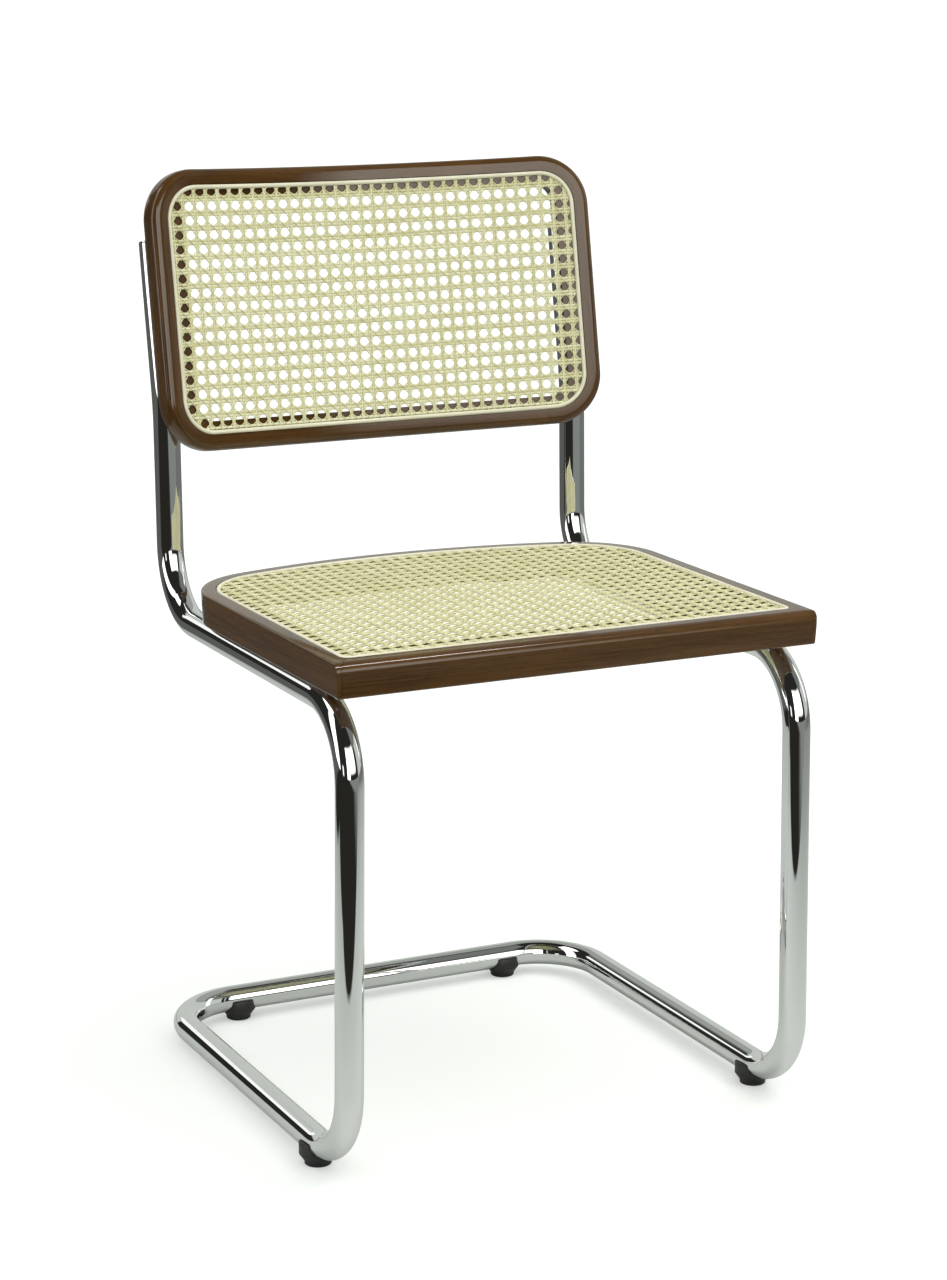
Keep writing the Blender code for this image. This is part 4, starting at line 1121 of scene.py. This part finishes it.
def strip_knots(span, phase, period, table):
    """Distances and heights along a strip: its two ends, and the table repeated between them."""
    first = math.floor((span[0] - phase) / period) - 1
    last = math.ceil((span[1] - phase) / period) + 1
    spots, levels = [], []
    for turn in range(first, last + 1):
        for offset, level in table:
            spots.append(phase + turn * period + offset)
            levels.append(level)
    spots, levels = np.array(spots), np.array(levels)
    kept = (spots > span[0] + END_CLEARANCE) & (spots < span[1] - END_CLEARANCE)
    distances = np.concatenate(([span[0]], spots[kept], [span[1]]))
    return distances, np.interp(distances, spots, levels)


def weave_family(name, outline, lines, place, strip_width, draws):
    """One mesh of all the strips that run one way."""
    points, quads, strands = [], [], []
    start = 0
    size = len(STRIP_SECTION)
    for origin, way, phase, period, table in lines:
        span = inside_span(outline, origin, way)
        if span is None:
            continue
        distances, heights = strip_knots(span, phase, period, table)
        tone, phase_shift = draws.random(), draws.random() * WANDER_PHASE
        width = strip_width * (1 + WIDTH_SPREAD * (draws.random() - 0.5))
        drift = WANDER * np.sin(distances * WANDER_WAVES + phase_shift)
        across = np.array((-way[1], way[0]))
        middle = origin + distances[:, None] * way + drift[:, None] * across
        ribbon = np.zeros((len(distances), size, 3))
        ribbon[:, :, :2] = middle[:, None, :] + across * (STRIP_SECTION[:, 0] * width)[None, :, None]
        ribbon[:, :, 2] = heights[:, None] + STRIP_SECTION[None, :, 1] * STRIP_THICK
        marks = np.zeros_like(ribbon)
        marks[:, :, 0] = distances[:, None] + TONE_SHIFT * tone
        marks[:, :, 1] = STRIP_SECTION[None, :, 0] * 2
        marks[:, :, 2] = tone
        count = len(distances)
        faces = ring_quads(count, size, closed=False)
        caps = np.array([(0, 3, 2, 1), (0, 5, 4, 3)])
        far = (count - 1) * size + np.array([(0, 1, 2, 3), (0, 3, 4, 5)])
        points.append(ribbon.reshape(-1, 3))
        strands.append(marks.reshape(-1, 3))
        quads.append(np.vstack((faces[:, ::-1], caps, far)) + start)
        start += count * size
    flat = np.vstack(points)
    mesh = mesh_of(name, place(flat), np.vstack(quads), attributes={"strand": np.vstack(strands)})
    return piece(name, mesh, 80)


# %% Families of strips


def over_under(first_sign, crossed_half):
    """Heights of a paired strip: under one of the crossing pair, over the other, level between."""
    rise = CROSS_RISE * first_sign
    clear = crossed_half + BEND_PAST_PAIR
    return [(-clear, 0.0), (-crossed_half, rise), (crossed_half, -rise), (clear, 0.0), (MID, 0.0)]


def diagonal_heights(first_sign):
    """Heights of a diagonal: over a pair, then under the next."""
    heights = []
    for start, high in ((0.0, DIAGONAL_RISE * first_sign), (DIAGONAL_STEP, -DIAGONAL_RISE * first_sign)):
        heights += [(start - DIAGONAL_FLAT, high), (start, high * DIAGONAL_CREST)]
        heights += [(start + DIAGONAL_FLAT, high), (start + DIAGONAL_STEP / 2, 0.0)]
    return heights


def weave(prefix, outline, place, node_name, seed):
    """The whole six-way weave inside an outline, as four meshes of strips."""
    draws = np.random.default_rng(seed)
    low, high = np.floor(outline.min(axis=0) / CANE_PITCH), np.ceil(outline.max(axis=0) / CANE_PITCH)
    columns, rows = range(int(low[0]) - 1, int(high[0]) + 2), range(int(low[1]) - 1, int(high[1]) + 2)
    right, up = np.array((1.0, 0.0)), np.array((0.0, 1.0))
    families = {"lengthwise": [], "crosswise": [], "rising": [], "falling": []}
    for column in columns:
        for sign in (-1, 1):
            origin = right * (column * CANE_PITCH + sign * LENGTHWISE_HALF)
            families["lengthwise"].append((origin, up, 0.0, CANE_PITCH, over_under(sign, CROSSWISE_HALF)))
    for row in rows:
        for sign in (-1, 1):
            origin = up * (row * CANE_PITCH + sign * CROSSWISE_HALF)
            families["crosswise"].append((origin, right, 0.0, CANE_PITCH, over_under(-sign, LENGTHWISE_HALF)))
    reach = len(columns) + len(rows)
    for step in range(-reach, reach):
        start = up * ((step + 0.5) * CANE_PITCH)
        for word, slope in (("rising", 1), ("falling", -1)):
            way = np.array((1.0, slope)) / math.sqrt(2)
            families[word].append((start, way, 0.0, 2 * DIAGONAL_STEP, diagonal_heights(slope)))
    total = 0
    for word, lines in families.items():
        strips = weave_family(f"{prefix}_{word}_strips", outline, lines, place, STRIP_WIDTH[word], draws)
        stands_for(dress(strips, cane), "cane", node_name)
        total += len(strips.data.polygons)
    print(prefix, "weave:", len(columns), "columns,", len(rows), "rows,", total, "faces")


# %% Weave the seat and the back


# How each panel was pulled into its frame: shift, pitch against a plain weave, bow and lean.
SEAT_PULL = {"shift": (-0.00054, -0.01010), "pitch": (0.9882, 1.0350), "bow": (0.0, -0.0825), "lean": -0.0061}
BACK_PULL = {"shift": (-0.00448, -0.00432), "pitch": (1.0, 1.051), "bow": (-0.106, 0.0), "lean": 0.0116}


def pulled(flat, pull):
    """The flat weave as it was stretched, bowed and leaned."""
    moved = flat.copy()
    for axis in (0, 1):
        line = flat[..., axis]
        moved[..., axis] = pull["shift"][axis] + pull["pitch"][axis] * line + pull["bow"][axis] * line**2
    moved[..., 0] += pull["lean"] * flat[..., 1]
    return moved


def unpulled(outline, pull):
    """The same the other way, for the outline that trims the strips."""
    line = np.linspace(-0.3, 0.3, 2401)
    plain = np.zeros_like(outline)
    for axis in (1, 0):
        wanted = outline[:, axis] - pull["shift"][axis] - (pull["lean"] * plain[:, 1] if axis == 0 else 0.0)
        plain[:, axis] = np.interp(wanted, pull["pitch"][axis] * line + pull["bow"][axis] * line**2, line)
    return plain


def onto_seat(flat):
    """Sets the pulled weave at the level of the seat's cane."""
    return pulled(flat, SEAT_PULL) + np.array((0.0, 0.0, SEAT_HEIGHT - CANE_LEVEL))


def onto_back(flat):
    """Sets the pulled weave into the curved back."""
    return to_back(pulled(flat, BACK_PULL) + np.array((0.0, 0.0, BACK_FACE - CANE_LEVEL)))


under_spline = SPLINE_WIDTH + GAP
seat_edge = seat_plan(SEAT_SIDE_LAND + under_spline, SEAT_FRONT_LAND + under_spline, 0.0034)
back_edge = back_plan(BACK_LAND + under_spline)
weave("seat_cane", unpulled(seat_edge, SEAT_PULL), onto_seat, "seat_cane", 11)
weave("back_cane", unpulled(back_edge, BACK_PULL), onto_back, "back_cane", 23)

# %% [markdown]
# ## Screws and dowels
# Four screws go up from inside the seat runs, and four go in from behind the uprights. Their heads
# are domed with a cross recess. One mesh serves all eight, and only the shank's length differs. The
# dowels are hidden in the wood and keep their CAD shape.

# %% Screws
SCREW_TIP = 0.005
SCREW_SHORT_OF_FACE = 0.012
BACK_SCREW_RISE = 0.045
SCREW_MASTER_LENGTH = 0.025
BACK_SCREW_LENGTH = 2 * TUBE_RADIUS + 2 * GAP + 2 * BACK_FACE - SCREW_SHORT_OF_FACE
SEAT_SCREW_LENGTH = TUBE_RADIUS - SEAT_SCREW_RISE + GAP + SEAT_THICKNESS - SCREW_SHORT_OF_FACE
HEAD_PROFILE = [
    (0.0, -0.0028),
    (0.0014, -0.00278),
    (0.0027, -0.00258),
    (0.0037, -0.0021),
    (0.0043, -0.0014),
    (0.0045, -0.0008),
    (0.0045, 0.0),
    (0.0021, 0.0),
    (0.0021, SCREW_MASTER_LENGTH - SCREW_TIP),
    (0.0002, SCREW_MASTER_LENGTH),
]
RECESS_LONG = 0.0026
RECESS_THICK = 0.0006
RECESS_DEEP = 0.0013


def cross_recess():
    """The driver's cross, as a tool to sink into the head."""
    bars = []
    for wide, tall in ((RECESS_LONG, RECESS_THICK), (RECESS_THICK, RECESS_LONG)):
        corners = [(-wide, -tall), (wide, -tall), (wide, tall), (-wide, tall)]
        bars.append(prism("recess", corners, -0.004, -0.0028 + RECESS_DEEP))
    return cut(bars[0], "UNION", bars[1])


screw_master = crisp(cut(turned("screw_master", HEAD_PROFILE, 40), "DIFFERENCE", cross_recess()))
dress(screw_master, zinc)


def place_screw(name, matrix, node_name, length):
    """A copy of the screw with a shank of this length, moved by the matrix."""
    mesh = screw_master.data.copy()
    for point in mesh.vertices:
        if point.co.z > SCREW_TIP:
            point.co.z += length - SCREW_MASTER_LENGTH
    mesh.transform(matrix)
    screw = bpy.data.objects.new(name, mesh)
    bpy.context.scene.collection.objects.link(screw)
    stands_for(screw, "screw_steel", node_name)


for side, word in ((-1, "left"), (1, "right")):
    for row, setback in SEAT_SCREW_ROWS:
        x, y = seat_screw_place(side, setback)
        spot = Matrix.Translation((x, y, SEAT_SCREW_HEAD_Z))
        place_screw(f"seat_fixing_{row}_{word}", spot, f"seat_screw_{row}_{word}", SEAT_SCREW_LENGTH)

back_frame = Matrix.Translation((0.0, BACK_Y, BACK_Z)) @ Matrix.Rotation(-RECLINE, 4, "X")
reach = BACK_TO_TUBE + TUBE_RADIUS + GAP
for side, word in ((-1, "left"), (1, "right")):
    spin = Euler((math.pi / 2, 0.0, -side * TUBE_ANGLE)).to_matrix().to_4x4()
    for row, end in (("lower", -1), ("upper", 1)):
        depth = reach * math.cos(TUBE_ANGLE) - BACK_CURVE_RADIUS
        spot = Matrix.Translation((side * reach * math.sin(TUBE_ANGLE), depth, end * BACK_SCREW_RISE))
        matrix = back_frame @ spot @ spin
        place_screw(f"back_fixing_{row}_{word}", matrix, f"back_screw_{row}_{word}", BACK_SCREW_LENGTH)
bpy.data.objects.remove(screw_master, do_unlink=True)

for word in ("left", "right"):
    for row in ("outer", "inner"):
        dress(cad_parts[f"seat_dowel_{row}_{word}"], beech)

# %% [markdown]
# ## Floor and light
# The chair stands on a sheet of pale paper that runs out to white. The paper is matt, and it only
# adds light of its own for the camera, so that the soft shadow stays. What chrome and lacquer show
# is the rest of the studio. It could all be built as panels, but here the world is painted by
# direction, for mirror rays alone: dark, with a pale backdrop, windows to the left and a softbox in
# front. One white board behind the chair is a real panel, because the uprights and the floor runners
# see it at different heights.

# %% Floor
bpy.context.scene.view_settings.view_transform = "Standard"


def beyond(tree, place, start, normal, soft):
    """1 on the far side of a line on the floor, 0 before it."""
    moved = node(tree, "ShaderNodeVectorMath", {"operation": "SUBTRACT"}, i0=place)
    moved.inputs[1].default_value = (*start, 0.0)
    reach = node(tree, "ShaderNodeVectorMath", {"operation": "DOT_PRODUCT"}, i0=moved.outputs[0])
    reach.inputs[1].default_value = (*normal, 0.0)
    return mapped(tree, reach.outputs["Value"], -soft, soft, 0.0, 1.0)


floor_material, tree, shader = new_material("studio_floor")
_object = node(tree, "ShaderNodeTexCoord").outputs["Object"]
_mottle = noise(tree, _object, 3.0, 3.0, 0.5)
_paper = mix_colour(tree, _mottle, (0.60, 0.63, 0.60, 1.0), (0.63, 0.65, 0.62, 1.0))
_front = beyond(tree, _object, (-0.355, -0.728), (-0.4384, -0.8988), 0.02)
_corner = beyond(tree, _object, (-1.022, -0.362), (-0.801, -0.598), 0.02)
_left = beyond(tree, _object, (-0.623, 1.027), (-0.770, 0.639), 0.04)
_off_paper = math_node(tree, "MAXIMUM", math_node(tree, "MAXIMUM", _front, _corner), _left)
_path = node(tree, "ShaderNodeLightPath")
_mirrored = math_node(tree, "MULTIPLY", _off_paper, _path.outputs["Is Glossy Ray"])
_right = beyond(tree, _object, (0.809, -0.395), (0.8988, -0.4384), 0.25)
_rear = beyond(tree, _object, (0.0, 0.9), (0.0, 1.0), 0.10)
_dark_floor = mix_colour(tree, _rear, (0.018, 0.017, 0.014, 1.0), (0.090, 0.092, 0.088, 1.0))
_beyond_paper = mix_colour(tree, _right, _dark_floor, (0.20, 0.21, 0.20, 1.0))
# Mirror rays see the paper painted darker with distance from the chair, first near and then far: a painted
# falloff of the light on it, not the paper's own colour.
_distance = node(tree, "ShaderNodeVectorMath", {"operation": "LENGTH"}, i0=_object).outputs["Value"]
_falloff_near = mapped(tree, _distance, 0.35, 1.4, 0.95, 0.46)
_falloff_far = mapped(tree, _distance, 1.4, 2.8, 1.0, 0.50)
_painted_falloff = math_node(tree, "MULTIPLY", _falloff_near, _falloff_far)
_lit = mix_colour(tree, _path.outputs["Is Glossy Ray"], (1.0, 1.0, 1.0, 1.0), _painted_falloff)
_tint = mix_colour(tree, _mirrored, mix_colour(tree, 1.0, _paper, _lit, "MULTIPLY"), _beyond_paper)
tree.links.new(_tint, shader.inputs["Base Color"])
shader.inputs["Roughness"].default_value = 0.9
shader.inputs["Specular IOR Level"].default_value = 0.0
shader.inputs["Emission Color"].default_value = (1.0, 1.0, 1.0, 1.0)
_shown = math_node(tree, "MULTIPLY", _path.outputs["Is Camera Ray"], 0.39)
tree.links.new(_shown, shader.inputs["Emission Strength"])

FLOOR_REACH = 40.0
corners = np.array([(-1, -1, 0), (1, -1, 0), (1, 1, 0), (-1, 1, 0)]) * FLOOR_REACH
floor = piece("floor", mesh_of("floor", corners, np.array([(0, 1, 2, 3)])))
dress(floor, floor_material)

# %% World
world = bpy.data.worlds.new("studio")
bpy.context.scene.world = world
world.use_nodes = True
tree = world.node_tree
background = tree.nodes["Background"]
_direction = node(tree, "ShaderNodeTexCoord").outputs["Generated"]
_way = node(tree, "ShaderNodeSeparateXYZ", None, Vector=_direction)
_round = math_node(tree, "ARCTAN2", _way.outputs[0], _way.outputs[1])
_turn = math_node(tree, "MULTIPLY", _round, 180 / math.pi)
_rise = math_node(tree, "MULTIPLY", math_node(tree, "ARCSINE", _way.outputs[2]), 180 / math.pi)


def window(low, high, value, soft):
    """1 between two angles, with soft edges."""
    enter = mapped(tree, value, low - soft, low + soft, 0.0, 1.0)
    leave = mapped(tree, value, high - soft, high + soft, 1.0, 0.0)
    return math_node(tree, "MULTIPLY", enter, leave)


# Each part of the room: its angles round from the rear, its heights, its colour and how soft its
# edges are, all angles in degrees.
ROOM = [
    ((-18, 130), (-90, 31), (0.62, 0.65, 0.61), 1.5),
    ((-12, 75), (31, 62), (0.38, 0.40, 0.37), 2.0),
    ((75, 146), (31, 70), (0.19, 0.20, 0.19), 2.0),
    ((-85, -42), (45, 66), (3.0, 3.0, 3.0), 2.0),
    ((-119, -111), (0, 9), (1.5, 1.5, 1.5), 0.8),
    ((-92, -68), (-4, 55), (2.5, 2.5, 2.5), 1.5),
    ((150, 190), (9, 36), (3.4, 3.4, 3.2), 4.0),
    ((-190, -160), (9, 36), (3.4, 3.4, 3.2), 4.0),
    ((-166, -146), (0, 36), (3.8, 3.8, 3.6), 1.0),
    ((86, 99), (6, 40), (1.5, 1.5, 1.5), 1.0),
]
_mirror = (0.022, 0.022, 0.020, 1.0)
for turns, heights, colour, soft in ROOM:
    _share = math_node(tree, "MULTIPLY", window(*turns, _turn, soft), window(*heights, _rise, soft))
    _mirror = mix_colour(tree, _share, _mirror, (*colour, 1.0))
_path = node(tree, "ShaderNodeLightPath")
_level = mix_colour(tree, _path.outputs["Is Glossy Ray"], (0.55, 0.56, 0.55, 1.0), _mirror)
_seen = mix_colour(tree, _path.outputs["Is Camera Ray"], _level, (1.0, 1.0, 1.0, 1.0))
tree.links.new(_seen, background.inputs["Color"])
background.inputs["Strength"].default_value = 1.0


# %% White board behind the chair
board_material, tree, shader = new_material("white_board")
_object = node(tree, "ShaderNodeTexCoord").outputs["Object"]
_glow = mapped(tree, noise(tree, _object, 2.0), 0.3, 0.7, 1.05, 1.20)
shader.inputs["Base Color"].default_value = (0.0, 0.0, 0.0, 1.0)
shader.inputs["Emission Color"].default_value = (1.0, 1.0, 1.0, 1.0)
tree.links.new(_glow, shader.inputs["Emission Strength"])

BOARD_CENTRE = Vector((-1.37, 3.97, 1.74))
BOARD_HALF = (0.80, 0.33)
across = Vector((BOARD_CENTRE.y, -BOARD_CENTRE.x, 0.0)).normalized() * BOARD_HALF[0]
rise = Vector((0.0, 0.0, BOARD_HALF[1]))
corners = np.array([BOARD_CENTRE + a * across + b * rise for a, b in ((-1, -1), (1, -1), (1, 1), (-1, 1))])
board = piece("white_board", mesh_of("white_board", corners, np.array([(0, 1, 2, 3)])))
dress(board, board_material)
board.visible_camera = board.visible_diffuse = board.visible_transmission = board.visible_shadow = False

# %% Lamps


def sun(name, azimuth, elevation, strength, softness):
    """A broad, soft lamp far away, which lights the floor evenly."""
    data = bpy.data.lights.new(name, "SUN")
    data.energy = strength
    data.angle = math.radians(softness)
    made = bpy.data.objects.new(name, data)
    aim = Vector(
        (
            math.sin(azimuth) * math.cos(elevation),
            -math.cos(azimuth) * math.cos(elevation),
            math.sin(elevation),
        )
    )
    made.rotation_euler = aim.to_track_quat("Z", "Y").to_euler()
    bpy.context.scene.collection.objects.link(made)
    return made


sun("key", math.radians(55), math.radians(64), 1.55, 45).visible_glossy = False
sun("fill", math.radians(-55), math.radians(58), 0.95, 60).visible_glossy = False

# A small lamp for the lacquer of the seat's rails alone, which draws the line along their edge.
rails_only = bpy.data.collections.new("seat_rails")
for part in (bow, rail):
    rails_only.objects.link(part)
gleam = sun("gleam", math.radians(57), math.radians(61), 0.18, 5)
gleam.visible_diffuse = False
gleam.light_linking.receiver_collection = rails_only
